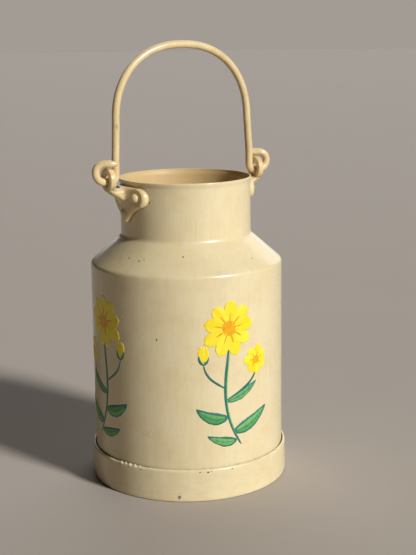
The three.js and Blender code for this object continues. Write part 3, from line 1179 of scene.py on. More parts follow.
@dataclass
class Ear:
    """One cast ear at +X: a plate on the neck, an arm that swells out of it and an eye. Millimetres.

    A rivet is (angle round the can in degrees, height). The plate and the arm start sunk behind the seat, and
    what lies behind it is cut away.
    """

    neck_radius: float = 74.5
    seat: float = 74.56
    thickness: float = 6.7
    top: float = 342.2
    tip: float = 302.6
    tip_round: float = 4.0
    tip_turn: float = 30.0
    lobe_offset: float = 21.6
    lobe_radius: float = 11.4
    lobe_turn: float = 56.0
    flank_pull: tuple[float, float] = (13.0, 316.5)
    plate_edge: float = 3.2
    eye_offset: float = 98.6
    eye_height: float = 351.55
    eye_thickness: float = 7.4
    eye_radius: float = 12.9
    eye_hole: float = 6.9
    eye_edge: float = 1.7
    arm_top: float = 341.0
    arm_half_width: float = 6.5
    arm_root_half_width: float = 12.5
    arm_waist: float = 84.2
    arm_edge: float = 4.8
    underside: tuple[Spot, ...] = ((102.3, 339.5), (94.0, 331.5), (82.5, 329.5), (78.0, 318.0))
    sunk: float = 6.0
    arm_sunk: float = 3.0
    dish_radius: float = 26.0
    dish_depth: float = 1.3
    dish_fillet: float = 2.4
    arm_fillet: float = 4.5
    eye_fillet: float = 3.2
    hole_fillet: float = 1.0
    pitch: float = 0.62
    margin: float = 2.0
    grid_start: float = 60.0
    lumps: float = 0.12
    # how far out the room is read for the painted shade in the recesses
    recess_reach: float = 4.0
    upper_rivets: tuple[Spot, ...] = ((-14.5, 331.5), (14.5, 331.5))
    low_rivet: Spot = (0.0, 313.0)

    def outline(self) -> Array:
        """The plate seen along the hinge: a half-round lobe at each top corner and a blunt point below.

        The flanks are quadratic curves (1-t)^2 A + 2 t (1-t) B + t^2 C drawn inwards by flank_pull.

        Returns:
            The outline's points (y, z), anticlockwise.
        """
        lobe_height = self.top - self.lobe_radius
        tip_height = self.tip + self.tip_round
        right_lobe = arc_points(self.lobe_offset, lobe_height, self.lobe_radius, -self.lobe_turn, 90.0, 20)
        point = arc_points(0.0, tip_height, self.tip_round, 180.0 + self.tip_turn, 360.0 - self.tip_turn, 8)
        t = np.linspace(0.0, 1.0, 12)[1:-1, None]
        pull = np.array(self.flank_pull)
        flank = (1 - t) ** 2 * point[-1] + 2 * t * (1 - t) * pull + t**2 * right_lobe[0]
        half = np.concatenate([flank, right_lobe])
        return np.concatenate([point, half, half[::-1] * [-1.0, 1.0]])

    def plate(self, points: Array) -> Array:
        """Distance to the plate: its outline bent round the neck, rounded, and dished at both upper rivets.

        Args:
            points: rows (x, y, z) in millimetres.

        Returns:
            The distances.
        """
        radius = np.hypot(points[:, 0], points[:, 1])
        across = polygon_distance(points[:, 1:], self.outline())
        inner = self.neck_radius - self.sunk
        outer = self.seat + self.thickness
        through = np.abs(radius - (inner + outer) / 2.0) - (outer - inner) / 2.0
        shape = rounded_box_distance([across, through], self.plate_edge)
        out = outer - self.dish_depth + self.dish_radius
        for angle, height in self.upper_rivets:
            centre = np.array([*(out * heading(math.radians(angle))), height])
            ball = np.linalg.norm(points - centre, axis=1) - self.dish_radius
            shape = -smooth_union(-shape, ball, self.dish_fillet)
        return shape

    def arm(self, points: Array) -> Array:
        """Distance to the arm: a rounded box whose width and underside change along X.

        The width falls by a square law to the waist and then stays; the underside is the cubic curve
        (1-t)^3 A + 3 t (1-t)^2 B + 3 t^2 (1-t) C + t^3 D of the four points.

        Args:
            points: rows (x, y, z) in millimetres.

        Returns:
            The distances.
        """
        x, y, z = points.T
        a, b, c, d = np.array(self.underside)
        t = np.linspace(0.0, 1.0, 40)[:, None]
        curve = (1 - t) ** 3 * a + 3 * t * (1 - t) ** 2 * b + 3 * t**2 * (1 - t) * c + t**3 * d
        under = np.interp(x, curve[::-1, 0], curve[::-1, 1])
        root, end = self.underside[-1][0], self.underside[0][0]
        start = root - self.arm_sunk
        swell = np.clip((self.arm_waist - x) / (self.arm_waist - root), 0.0, 1.2) ** 2
        width = self.arm_half_width + (self.arm_root_half_width - self.arm_half_width) * swell
        return rounded_box_distance([
            np.abs(y) - width,
            np.abs(z - (self.arm_top + under) / 2.0) - (self.arm_top - under) / 2.0,
            np.abs(x - (start + end) / 2.0) - (end - start) / 2.0,
        ], self.arm_edge)

    def eye(self, points: Array) -> Array:
        """Distance to the eye: a ring about the hinge's direction with rounded edges.

        Args:
            points: rows (x, y, z) in millimetres.

        Returns:
            The distances.
        """
        ring = np.hypot(points[:, 1], points[:, 2] - self.eye_height)
        middle, half = (self.eye_radius + self.eye_hole) / 2.0, (self.eye_radius - self.eye_hole) / 2.0
        return rounded_box_distance([
            np.abs(ring - middle) - half,
            np.abs(points[:, 0] - self.eye_offset) - self.eye_thickness / 2.0,
        ], self.eye_edge)

    def distance(self, points: Array) -> Array:
        """Distance to the whole casting: plate, arm and eye with fillets, clear of the neck and the hole.

        Args:
            points: rows (x, y, z) in millimetres.

        Returns:
            The distances.
        """
        body = smooth_union(self.plate(points), self.arm(points), self.arm_fillet)
        body = smooth_union(body, self.eye(points), self.eye_fillet)
        body = body + self.lumps * value_noise(points, Lattice.CASTING)
        ring = np.hypot(points[:, 1], points[:, 2] - self.eye_height)
        body = -smooth_union(-body, ring - self.eye_hole, self.hole_fillet)
        return np.maximum(body, self.seat - np.hypot(points[:, 0], points[:, 1]))

    def casting(self) -> Surface:
        """The ear's surface.

        Returns:
            The closed surface, in metres, with a tint that rises to 1 in its recesses: the share of painted
            shade there.
        """
        side = self.lobe_offset + self.lobe_radius
        low = np.array([self.grid_start, -side - self.margin, self.tip - self.margin])
        high = self.margin + np.array([
            self.eye_offset + self.eye_thickness / 2.0, side, self.eye_height + self.eye_radius,
        ])
        points, faces = surface_net(self.distance, low, high, self.pitch)
        return Surface(points * MM, [faces], tint=self.recess(points))

    def recess(self, points: Array) -> Array:
        """How far each point lies in a recess, by the room d found at the reach along its normal; the paint
        darkens there as painted shade.

        The value is 1.6 (1 - d / reach) - 0.1, kept from 0 to 1. The normal is the distance's gradient, and
        the neck counts as a wall.

        Args:
            points: rows (x, y, z) in millimetres on the surface.

        Returns:
            The values, from 0 in the open to 1 in a deep corner.
        """
        out = points + self.recess_reach * unit_rows(slope_of(self.distance, points))
        room = np.minimum(self.distance(out), np.hypot(out[:, 0], out[:, 1]) - self.neck_radius)
        return np.clip((1.0 - room / self.recess_reach) * 1.6 - 0.1, 0.0, 1.0)


@dataclass
class Rivet:
    """One rivet along +X at the height 0: a domed head, a shank and a low tail inside. Millimetres."""

    tail_top: float = 70.5
    tail_face: float = 71.7
    tail_radius: float = 4.0
    tail_round: float = 0.8
    shank_radius: float = 2.5
    head_face: float = 79.6
    head_top: float = 84.5
    head_radius: float = 5.1
    dome_height: float = 3.2
    low_sunk: float = 1.5
    sides: int = 40

    def pin(self, angle: float, height: float, sunk: float = 0.0) -> Surface:
        """The rivet turned about its own line: a ball's cap for the head and rounded edges.

        Args:
            angle: its place round the can, in degrees from +X.
            height: its height above the floor.
            sunk: how much flatter its dome is than the others.

        Returns:
            The closed surface, in metres.
        """
        dome_height, edge = self.dome_height - sunk, self.tail_round
        ball = (self.head_radius**2 + dome_height**2) / (2.0 * dome_height)
        half = math.degrees(math.asin(self.head_radius / ball))
        dome = arc_points(0.0, self.head_top - sunk - ball, ball, 90.0 - half, 90.0, 10)
        path = np.concatenate([
            [[0.0, self.tail_top]],
            arc_points(self.tail_radius - edge, self.tail_top + edge, edge, -90.0, 0.0, 4),
            [[self.tail_radius, self.tail_face], [self.shank_radius, self.tail_face]],
            [[self.shank_radius, self.head_face], [self.head_radius, self.head_face]],
            dome,
        ])
        path[-1, 0] = 0.0
        surface = lathed(path, self.sides, closed=False)
        x, y, z = surface.points.T
        surface.points = np.stack([z, x, y], axis=1)
        surface.points[:, 2] += height * MM
        return surface.turned(math.radians(angle))


# ------------------------------------------------------------------ bail


@dataclass
class Bail:
    """The bent rod: an arch, two legs and an end curled through each eye. Millimetres."""

    rod_radius: float = 4.25
    hinge_height: float = 349.2
    top: float = 500.0
    arch_half_width: float = 87.1
    arch_base: float = 411.5
    arch_power: float = 2.23
    arch_lean: float = -2.1
    arch_points: int = 90
    leg_offset: float = 89.4
    leg_straight_top: float = 372.0
    leg_bend: float = 6.5
    curl_reach: float = 114.3
    curl_bend: float = 10.5
    curl_top: float = 369.2
    curl_top_bend: float = 9.5
    curl_tip: float = 91.6
    aside: float = 8.65
    tip_length: float = 9.0
    tip_radius: float = 2.7
    tip_flat: float = 0.2
    step: float = 1.1
    sides: int = 44
    paint_runs: float = 0.09
    clear_above: float = 1.0

    def half_line(self) -> Array:
        """The +X half of the rod's centre line, from the arch's top to the curled end's tip.

        The arch is the superellipse x = a cos(t)^(2/n), z = b sin(t)^(2/n); the rest is straights and arcs,
        and the curled end moves aside by the smoothstep of the way that it has come back.

        Returns:
            The points (x, y, z).
        """
        rise = self.top - self.rod_radius - self.arch_base
        power = 2.0 / self.arch_power
        t = np.linspace(math.pi / 2.0, 0.0, self.arch_points)
        cosine = np.cos(t)
        cosine[0] = 0.0
        arch = np.stack([
            self.arch_half_width * cosine**power,
            self.arch_base + rise * np.sin(t) ** power,
        ], axis=1)
        bend, curl, high = self.leg_bend, self.curl_bend, self.curl_top_bend
        eye = np.concatenate([
            [[self.leg_offset, self.leg_straight_top]],
            arc_points(self.leg_offset + bend, self.hinge_height + bend, bend, 180.0, 270.0, 12),
            arc_points(self.curl_reach - curl, self.hinge_height + curl, curl, -90.0, 0.0, 14),
        ])
        back = np.concatenate([
            arc_points(self.curl_reach - high, self.curl_top - high, high, 0.0, 90.0, 14),
            [[self.curl_tip, self.curl_top]],
        ])
        back = resampled(back, self.step)
        share = (self.curl_reach - back[:, 0]) / (self.curl_reach - self.curl_tip)
        sideways = self.aside * smoothstep(np.clip(share, 0.0, 1.0))
        flat = np.concatenate([arch, eye])
        return np.concatenate([
            np.stack([flat[:, 0], np.zeros(len(flat)), flat[:, 1]], axis=1),
            np.stack([back[:, 0], sideways, back[:, 1]], axis=1),
        ])

    def line(self) -> Array:
        """The whole centre line: the half, the same half turned about Z, and the arch's slight lean.

        Its points are spaced evenly and then eased once, each to half its place and a quarter of both next.

        Returns:
            The points (x, y, z).
        """
        half = self.half_line()
        points = np.concatenate([half[:0:-1] * [-1.0, -1.0, 1.0], half])
        height = np.clip(points[:, 2] - self.leg_straight_top, 0.0, None)
        points[:, 0] += self.arch_lean * height / (self.top - self.leg_straight_top)
        length = run_length(points)
        even = np.linspace(0.0, length[-1], round(length[-1] / self.step) + 1)
        smooth = np.stack([np.interp(even, length, points[:, a]) for a in range(3)], axis=1)
        eased = smooth.copy()
        eased[1:-1] = 0.25 * smooth[:-2] + 0.5 * smooth[1:-1] + 0.25 * smooth[2:]
        return eased

    def rod(self) -> Surface:
        """A round section carried along the line, narrowed and domed at both tips, with runs of paint.

        A section's points are the line's point plus r (cos a B + sin a N), with B the way across the bail
        made square to the line and N = T x B. The ends in and by the eyes have no runs.

        Returns:
            The closed surface, in metres.
        """
        line = self.line()
        tangent = unit_rows(np.gradient(line, axis=0))
        cross = unit_rows(np.array([0.0, 1.0, 0.0]) - tangent * tangent[:, 1:2])
        normal = np.cross(tangent, cross)
        length = run_length(line)
        to_tip = np.minimum(length, length[-1] - length)
        taper = smoothstep(np.clip(to_tip / self.tip_length, 0.0, 1.0))
        radius = self.tip_radius + (self.rod_radius - self.tip_radius) * taper
        dome = np.clip(to_tip / self.tip_radius, 0.0, 1.0)
        radius = radius * np.sqrt(np.maximum(1.0 - (1.0 - dome) ** 2, self.tip_flat**2))
        angle = (np.arange(self.sides) * TURN / self.sides)[None, :, None]
        around = np.cos(angle) * cross[:, None] + np.sin(angle) * normal[:, None]
        points = line[:, None] + radius[:, None, None] * around
        rows = points.reshape(-1, 3)
        runs = value_noise(rows, Lattice.LONG_RUN) * 0.7 + value_noise(rows, Lattice.SHORT_RUN) * 0.3
        beyond_leg = np.abs(rows[:, 0]) > self.leg_offset - self.rod_radius
        low = rows[:, 2] < self.curl_top + self.rod_radius + self.clear_above
        amount = np.where(beyond_leg & low, 0.0, self.paint_runs) * np.minimum(runs, 0.0)
        points = points + amount.reshape(points.shape[:2])[..., None] * around
        return closed_tube(points * MM, line[0] * MM, line[-1] * MM)


# ------------------------------------------------------------------ flowers painted on the wall


class Hue(Enum):
    """The four paints of the flowers. Each is a piece of its own."""

    TEAL = "teal"
    GREEN = "green"
    YELLOW = "yellow"
    GOLD = "gold"


PAINTS: dict[Hue, ArtistPaint] = {
    Hue.TEAL: ArtistPaint("flower_teal", srgb(58, 138, 122), srgb(18, 92, 86)),
    Hue.GREEN: ArtistPaint("flower_green", srgb(126, 190, 104), srgb(70, 152, 78)),
    Hue.YELLOW: ArtistPaint("flower_yellow", srgb(253, 236, 66), srgb(252, 219, 6)),
    Hue.GOLD: ArtistPaint("flower_gold", srgb(246, 190, 16), srgb(228, 146, 6)),
}


def bezier(controls: list[Array], steps: int) -> Array:
    """Points of the curve sum of C(n, k) (1-t)^(n-k) t^k P_k for t from 0 to 1.

    Args:
        controls: the control points P_k.
        steps: number of steps, one less than the points.

    Returns:
        The points, shape (steps + 1, 2).
    """
    degree = len(controls) - 1
    t = np.linspace(0.0, 1.0, steps + 1)[:, None]
    weights = [math.comb(degree, k) * (1.0 - t) ** (degree - k) * t**k for k in range(degree + 1)]
    return np.concatenate(weights, axis=1) @ np.array(controls)


@dataclass
class Painter:
    """Lays strokes of paint on the can's wall and gathers them by paint. Millimetres.

    A place on the wall is (s, z): s along the wall to the right of a middle line, z above the floor.

    Args:
        can: the can whose wall is painted.
        seed: the seed of every small irregularity.
        ring_sides: points of a stroke's section.
        stations: steps along a stroke.
        sunk: how deep a stroke's keel lies under the wall.
        end_sunk: how deep its two end points lie.
        layer_lift: how much higher each stroke lies than the one before.
        layers: after how many strokes that starts again.
        body: the paint's true height, as a share of the height asked for.
        roundness: the power of the section's crown.
        thinning: share of the width under which the crown is lower.
        unevenness: how much the width varies.
        uv_step: how far each stroke's UV map is moved on, so that no two look alike.
        laid: the strokes so far, by their paint.
        count: how many there are.
        random: the source of every small irregularity.
    """

    can: Can
    seed: int
    ring_sides: int = 12
    stations: int = 20
    sunk: float = 0.3
    end_sunk: float = 0.05
    layer_lift: float = 0.006
    layers: int = 24
    body: float = 0.42
    roundness: float = 0.4
    thinning: float = 0.25
    unevenness: float = 0.10
    uv_step: float = 0.05
    laid: dict[Hue, Surface] = field(default_factory=dict)
    count: int = 0
    random: np.random.Generator = field(init=False)

    def __post_init__(self) -> None:
        """Seeds the irregularities."""
        self.random = np.random.default_rng(self.seed)

    def wobble(self, size: float) -> float:
        """A random number from -size to size."""
        return float(self.random.uniform(-size, size))

    def stroke(
        self, hue: Hue, middle: float, controls: list[Array], width: float, height: float, fullness: float,
        heavy_end: float = 1.0,
    ) -> None:
        """Lays one stroke: a lens section carried along a curve on the wall.

        Across the stroke the section is (w cos a, h sin(a)^n) above the wall, n being its roundness, and a
        shallow keel below it. Along it, w is half the width times sin(pi t^e)^f, with e the heavy end and f
        the fullness.

        Args:
            hue: its paint.
            middle: azimuth of s = 0, in degrees.
            controls: control points of its curve.
            width: its greatest width.
            height: the paint's height at its crown.
            fullness: 0.3 gives blunt ends and 1 long pointed ones.
            heavy_end: over 1 puts the greatest width near the end, under 1 near the start.
        """
        path = bezier(controls, self.stations)
        t = np.linspace(0.0, 1.0, self.stations + 1)
        along = unit_rows(np.gradient(path, axis=0))
        left = np.stack([-along[:, 1], along[:, 0]], axis=1)
        half = width / 2.0 * np.maximum(np.sin(math.pi * t**heavy_end), 0.0) ** fullness
        own_layer = np.full((len(t), 1), 7.0 * self.count)
        uneven = value_noise(np.concatenate([path, own_layer], axis=1), Lattice.STROKE_EDGE)
        half = (half * (1.0 + self.unevenness * uneven))[1:-1]
        angle = np.arange(self.ring_sides) * TURN / self.ring_sides
        across, rise = half[:, None] * np.cos(angle), np.sin(angle)
        flat = path[1:-1, None] + across[..., None] * left[1:-1, None]
        crown = self.body * height * np.abs(rise) ** self.roundness
        section = np.where(rise > 0.0, crown, -self.sunk * np.abs(rise))
        share = np.minimum(1.0, half / (self.thinning * width))[:, None]
        lift = self.layer_lift * (self.count % self.layers)
        rings = self.on_wall(middle, flat, section * share + lift * (rise > 0.0))
        start, end = self.on_wall(middle, path[[0, -1]], np.full(2, -self.end_sunk))
        tube = closed_tube(rings, start, end)
        length = run_length(path)[-1] * MM
        uv = np.stack(np.broadcast_arrays(t[1:-1, None] * length, across * MM), axis=-1).reshape(-1, 2)
        tube.uv = np.concatenate([uv, [[0.0, 0.0], [length, 0.0]]])
        tube.uv[:, 0] += self.uv_step * self.count
        tube.tint = np.full(len(tube.points), 0.5 + self.wobble(0.4))
        self.laid[hue] = self.laid[hue].joined(tube) if hue in self.laid else tube
        self.count += 1

    def on_wall(self, middle: float, place: Array, out: Array) -> Array:
        """Points (s, z) brought onto the uneven wall: the angle is the middle's plus s / R.

        Args:
            middle: azimuth of s = 0, in degrees.
            place: points (s, z), any shape that ends in 2.
            out: how far outside the wall each point lies.

        Returns:
            The points in metres, shape as place but ending in 3.
        """
        angle = math.radians(middle) + place[..., 0] / self.can.body_radius
        radius = (self.can.body_radius + out) * MM
        points = np.stack([radius * np.cos(angle), radius * np.sin(angle), place[..., 1] * MM], axis=-1)
        return self.can.beaten(points.reshape(-1, 3)).reshape(points.shape)


@dataclass
class Spray:
    """A spray of simple daisies: a curved stem, two blooms, a bud and slim leaves. Millimetres.

    Args:
        painter: who lays the strokes.
        middle: azimuth of the spray's middle line, in degrees.
        side: 1, or -1 for the mirrored layout.
        stem_strokes: paint, control points, width, height and fullness of each stroke of the stems.
        leaves: where each leaf leaves the stem, the point that bends it, its tip and its width.
        bud_place: the bud's middle.
        blooms: middle, radius, number of petals and angle of the first petal of each bloom.
    """

    painter: Painter
    middle: float
    side: int
    stem_strokes: tuple[tuple[Hue, tuple[Spot, ...], float, float, float], ...] = (
        (Hue.TEAL, ((9, 57), (-18, 96), (-14, 130), (-7, 176)), 3.6, 0.28, 0.25),
        (Hue.TEAL, ((-12, 112), (6, 122), (26, 128), (29, 144)), 2.8, 0.26, 0.25),
        (Hue.TEAL, ((-12, 126), (-22, 134), (-35, 138), (-37, 156)), 2.6, 0.26, 0.25),
        (Hue.GREEN, ((7, 60), (-16, 97), (-12, 130), (-6, 168)), 1.4, 0.24, 0.4),
    )
    leaves: tuple[tuple[Spot, Spot, Spot, float], ...] = (
        ((-3, 76), (20, 78), (46, 98), 15.0),
        ((-9, 94), (-28, 88), (-46, 106), 14.0),
        ((-12, 112), (8, 114), (30, 130), 10.0),
        ((2, 66), (-14, 62), (-34, 74), 11.0),
    )
    bud_place: Spot = (-37, 163)
    blooms: tuple[tuple[Spot, float, int, float], ...] = (
        ((29, 153), 17.0, 7, 0.4),
        ((-7, 194), 31.0, 9, 0.15),
    )

    def at(self, s: float, z: float) -> Array:
        """A place of the layout, mirrored where the spray is."""
        return np.array([self.side * s, z], dtype=float)

    def lay(self, hue: Hue, places: list[Array], *settings: float) -> None:
        """Lays one stroke through places of this spray, with the painter's settings from the width on."""
        self.painter.stroke(hue, self.middle, places, *settings)

    def paint(self) -> None:
        """Lays the stems, leaves, bud and blooms, from the lowest layer up."""
        for hue, places, *settings in self.stem_strokes:
            self.lay(hue, [self.at(*place) for place in places], *settings)
        for root, pull, tip, width in self.leaves:
            self.leaf(self.at(*root), self.at(*pull), self.at(*tip), width)
        self.bud(*self.bud_place)
        for centre, *settings in self.blooms:
            self.bloom(self.at(*centre), *settings)

    def leaf(self, start: Array, bend: Array, end: Array, width: float) -> None:
        """A lance-shaped leaf: a broad teal stroke, a green one on each half and fine teal veins.

        Their control points lie at shares of its length and width, and the veins leave its middle curve.

        Args:
            start: where it leaves the stem.
            bend: the control point that bends it.
            end: its tip.
            width: its greatest width.
        """
        near, far = start + 0.12 * (bend - start), end + 0.10 * (bend - end)
        way = end - start
        across = width * np.array([-way[1], way[0]]) / np.linalg.norm(way)
        self.lay(Hue.TEAL, [start, bend, end], width, 0.3, 0.72, 0.82)
        for place in (-1.0, 1.0):
            inside = [near + 0.03 * place * across, bend + 0.30 * place * across, far]
            self.lay(Hue.GREEN, inside, 0.40 * width, 0.34, 0.66, 0.85)
        self.lay(Hue.TEAL, [near, bend, far], 1.0, 0.4, 0.4)
        for share in (0.3, 0.5, 0.7):
            bow = 2.0 * share * (1.0 - share) * (bend - 0.5 * (near + far))
            root = near + share * (far - near) + bow
            for place in (-1.0, 1.0):
                bend_point = root + 0.03 * way + 0.13 * place * across
                tip = root + 0.10 * way + 0.24 * place * across
                self.lay(Hue.TEAL, [root, bend_point, tip], 0.6, 0.42, 0.4)

    def bloom(self, centre: Array, radius: float, petals: int, start: float) -> None:
        """A daisy seen from the front: round-ended petals of three strokes each and a dotted middle.

        Their control points lie at shares of the petal's length and breadth.

        Args:
            centre: its middle.
            radius: its mean radius.
            petals: number of petals.
            start: angle of the first petal, in radians.
        """
        breadth = TURN * radius * 0.62 / petals
        for n in range(petals):
            angle = start + TURN * n / petals + self.painter.wobble(0.07)
            reach = radius * (1.0 + self.painter.wobble(0.09))
            way, cross = heading(angle), breadth * heading(angle + math.pi / 2.0)
            for place in (-1.0, 1.0, 0.0):
                inner = centre + 0.18 * radius * way + 0.10 * place * cross
                belly = centre + 0.66 * reach * way + 0.46 * place * cross
                outer = centre + (1.0 - 0.07 * abs(place)) * reach * way + 0.12 * place * cross
                self.lay(Hue.YELLOW, [inner, belly, outer], 0.62 * breadth, 0.34, 0.5, 1.25)
            vein = [centre + share * radius * way for share in (0.2, 0.42, 0.62)]
            self.lay(Hue.GOLD, vein, 0.13 * breadth + 0.5, 0.42, 0.8, 0.8)
        self.dots(centre, 0.30 * radius)

    def dots(self, centre: Array, radius: float) -> None:
        """A bloom's middle: dabs set on a spiral, the n-th at radius R sqrt(n / N) and 2.4 n radians.

        Args:
            centre: the bloom's middle.
            radius: the dotted middle's radius R.
        """
        for angle in np.arange(4) * math.pi / 4.0:
            reach = 0.98 * radius * heading(angle)
            self.lay(Hue.GOLD, [centre - reach, centre + reach], 1.5 * radius, 0.36, 0.4)
        number = round(radius * 2.6)
        for n in range(number):
            angle = 2.4 * n
            spot = centre + radius * math.sqrt((n + 0.5) / number) * heading(angle)
            step = 0.9 * heading(angle + 1.2)
            self.lay(Hue.GOLD, [spot - step, spot, spot + step], 2.0, 0.62, 0.35)

    def bud(self, s: float, z: float) -> None:
        """A closed bud: three narrow petals that rise from a small teal cup.

        Args:
            s: its middle along the wall.
            z: its middle's height.
        """
        petal, cup = ((1.2, -5.0), (5.5, 4.0), (2.2, 13.0)), ((0.0, -8.0), (5.5, -4.0), (5.0, 3.5))
        for place in (-1.0, 1.0, 0.0):
            places = [self.at(s + out * place, z + up) for out, up in petal]
            self.lay(Hue.YELLOW, places, 5.2, 0.34, 0.6, 1.1)
        for place in (-1.0, 1.0):
            places = [self.at(s + out * place, z + up) for out, up in cup]
            self.lay(Hue.TEAL, places, 3.2, 0.4, 0.6, 0.8)


# ------------------------------------------------------------------ studio


@dataclass(frozen=True)
class Studio:
    """The floor, the lights, the world and the camera. Metres, radians and pixels of the 416 x 555 frame.

    The camera was solved from the can's own ellipses: it stands at the distance and height given, on the
    azimuth turn from -Y, and looks aside, down and rolled by the three small angles.
    """

    turn: float = math.radians(-32.0)
    distance: float = 1.3079
    height: float = 0.50435
    aside: float = 0.019
    down: float = 0.207
    roll: float = -0.012
    focal_px: float = 1150.0
    frame_height_px: float = 555.0
    sensor_mm: float = 36.0
    clip: tuple[float, float] = (0.05, 90.0)
    floor_radius: float = 40.0
    floor_depth: float = 0.02
    floor_gap: float = 0.0002
    floor_tone: Colour = (0.46, 0.405, 0.35)
    backdrop: float = 0.365
    backdrop_tone: Colour = (1.0, 0.91, 0.81)
    fill: float = 0.012
    fill_tone: Colour = (1.0, 0.60, 0.24)
    key_azimuth: float = math.radians(-74.0)
    key_height: float = math.radians(29.0)
    key_spread: float = 0.16
    key_strength: float = 3.65
    back_azimuth: float = math.radians(50.0)
    back_height: float = math.radians(24.0)
    back_strength: float = 0.95
    back_spread: float = 1.1

    def build(self) -> None:
        """Makes the floor, both lights, the world and the camera."""
        self.floor()
        self.lamp("key", self.key_azimuth, self.key_height, self.key_strength, self.key_spread)
        self.lamp("back", self.back_azimuth, self.back_height, self.back_strength, self.back_spread)
        self.world()
        self.camera()

    def floor(self) -> None:
        """A wide pale disc just under the foot, with a faint grain."""
        corners = [[0.0, -self.floor_depth], [self.floor_radius, -self.floor_depth]]
        corners += [[self.floor_radius, -self.floor_gap], [0.0, -self.floor_gap]]
        path = np.array(corners) / MM
        shader = Shader("floor_paint")
        place = shader.place()
        cloud, grain = shader.noise(place, Grain.FLOOR_CLOUD), shader.noise(place, Grain.FLOOR_GRAIN)
        low, high = (tuple(share * part for part in self.floor_tone) for share in (0.97, 1.03))
        colour = shader.mix(cloud, low, high)
        material = shader.finish(grain, 0.00005, 0.4, Base_Color=colour, Roughness=0.75)
        lathed(path, 96, closed=False).to_object("floor", material, smooth=False)

    def lamp(self, name: str, azimuth: float, height: float, strength: float, spread: float) -> None:
        """One soft light from far off, so that it falls evenly on the floor.

        Args:
            name: its name.
            azimuth: where it stands round the can.
            height: its angle above the floor.
            strength: its irradiance, in watts for a square metre.
            spread: the angle that it fills.
        """
        light = bpy.data.lights.new(name, "SUN")
        light.energy, light.angle = strength, spread
        lamp = bpy.data.objects.new(name, light)
        way = np.array([*(math.cos(height) * heading(azimuth)), math.sin(height)])
        lamp.matrix_world = aimed(way, -way)
        bpy.context.scene.collection.objects.link(lamp)

    def world(self) -> None:
        """A pale backdrop for the camera, a dim warm light from all round for the rest, and plain colours."""
        world = bpy.data.worlds.new("studio")
        world.use_nodes = True
        nodes, links = world.node_tree.nodes, world.node_tree.links
        nodes.clear()
        ray, mix = nodes.new("ShaderNodeLightPath"), nodes.new("ShaderNodeMixShader")
        output = nodes.new("ShaderNodeOutputWorld")
        links.new(ray.outputs["Is Camera Ray"], mix.inputs[0])
        lit = ((self.fill_tone, self.fill), (self.backdrop_tone, self.backdrop))
        for place, (tone, strength) in enumerate(lit):
            background = nodes.new("ShaderNodeBackground")
            background.inputs["Color"].default_value = (*tone, 1.0)
            background.inputs["Strength"].default_value = strength
            links.new(background.outputs[0], mix.inputs[place + 1])
        links.new(mix.outputs[0], output.inputs["Surface"])
        bpy.context.scene.world = world
        bpy.context.scene.view_settings.view_transform = "Standard"

    def camera(self) -> None:
        """The camera at the solved place, its focal length from pixels to a 36 mm sensor."""
        data = bpy.data.cameras.new("camera")
        data.sensor_width = self.sensor_mm
        data.lens = self.focal_px * self.sensor_mm / self.frame_height_px
        data.clip_start, data.clip_end = self.clip
        camera = bpy.data.objects.new("camera", data)
        ahead = self.turn + math.pi / 2.0
        place = np.array([*(-self.distance * heading(ahead)), self.height])
        forward = np.array([*(math.cos(self.down) * heading(ahead - self.aside)), -math.sin(self.down)])
        camera.matrix_world = aimed(place, forward, self.roll)
        bpy.context.scene.collection.objects.link(camera)
        bpy.context.scene.camera = camera


def aimed(place: Array, forward: Array, roll: float = 0.0) -> Matrix:
    """A place and direction as an object's matrix: -Z along forward, Y upwards, turned by the roll.

    Args:
        place: where the object stands.
        forward: the way that it looks.
        roll: its turn about that way, in radians.

    Returns:
        The matrix.
    """
    forward = forward / np.linalg.norm(forward)
    right = np.cross(forward, [0.0, 0.0, 1.0])
    right /= np.linalg.norm(right)
    up = np.cross(right, forward)
    c, s = math.cos(roll), math.sin(roll)
    matrix = np.eye(4)
    matrix[:3, 0], matrix[:3, 1] = c * right + s * up, c * up - s * right
    matrix[:3, 2], matrix[:3, 3] = -forward, place
    return Matrix(matrix.tolist())


# ------------------------------------------------------------------ putting it together


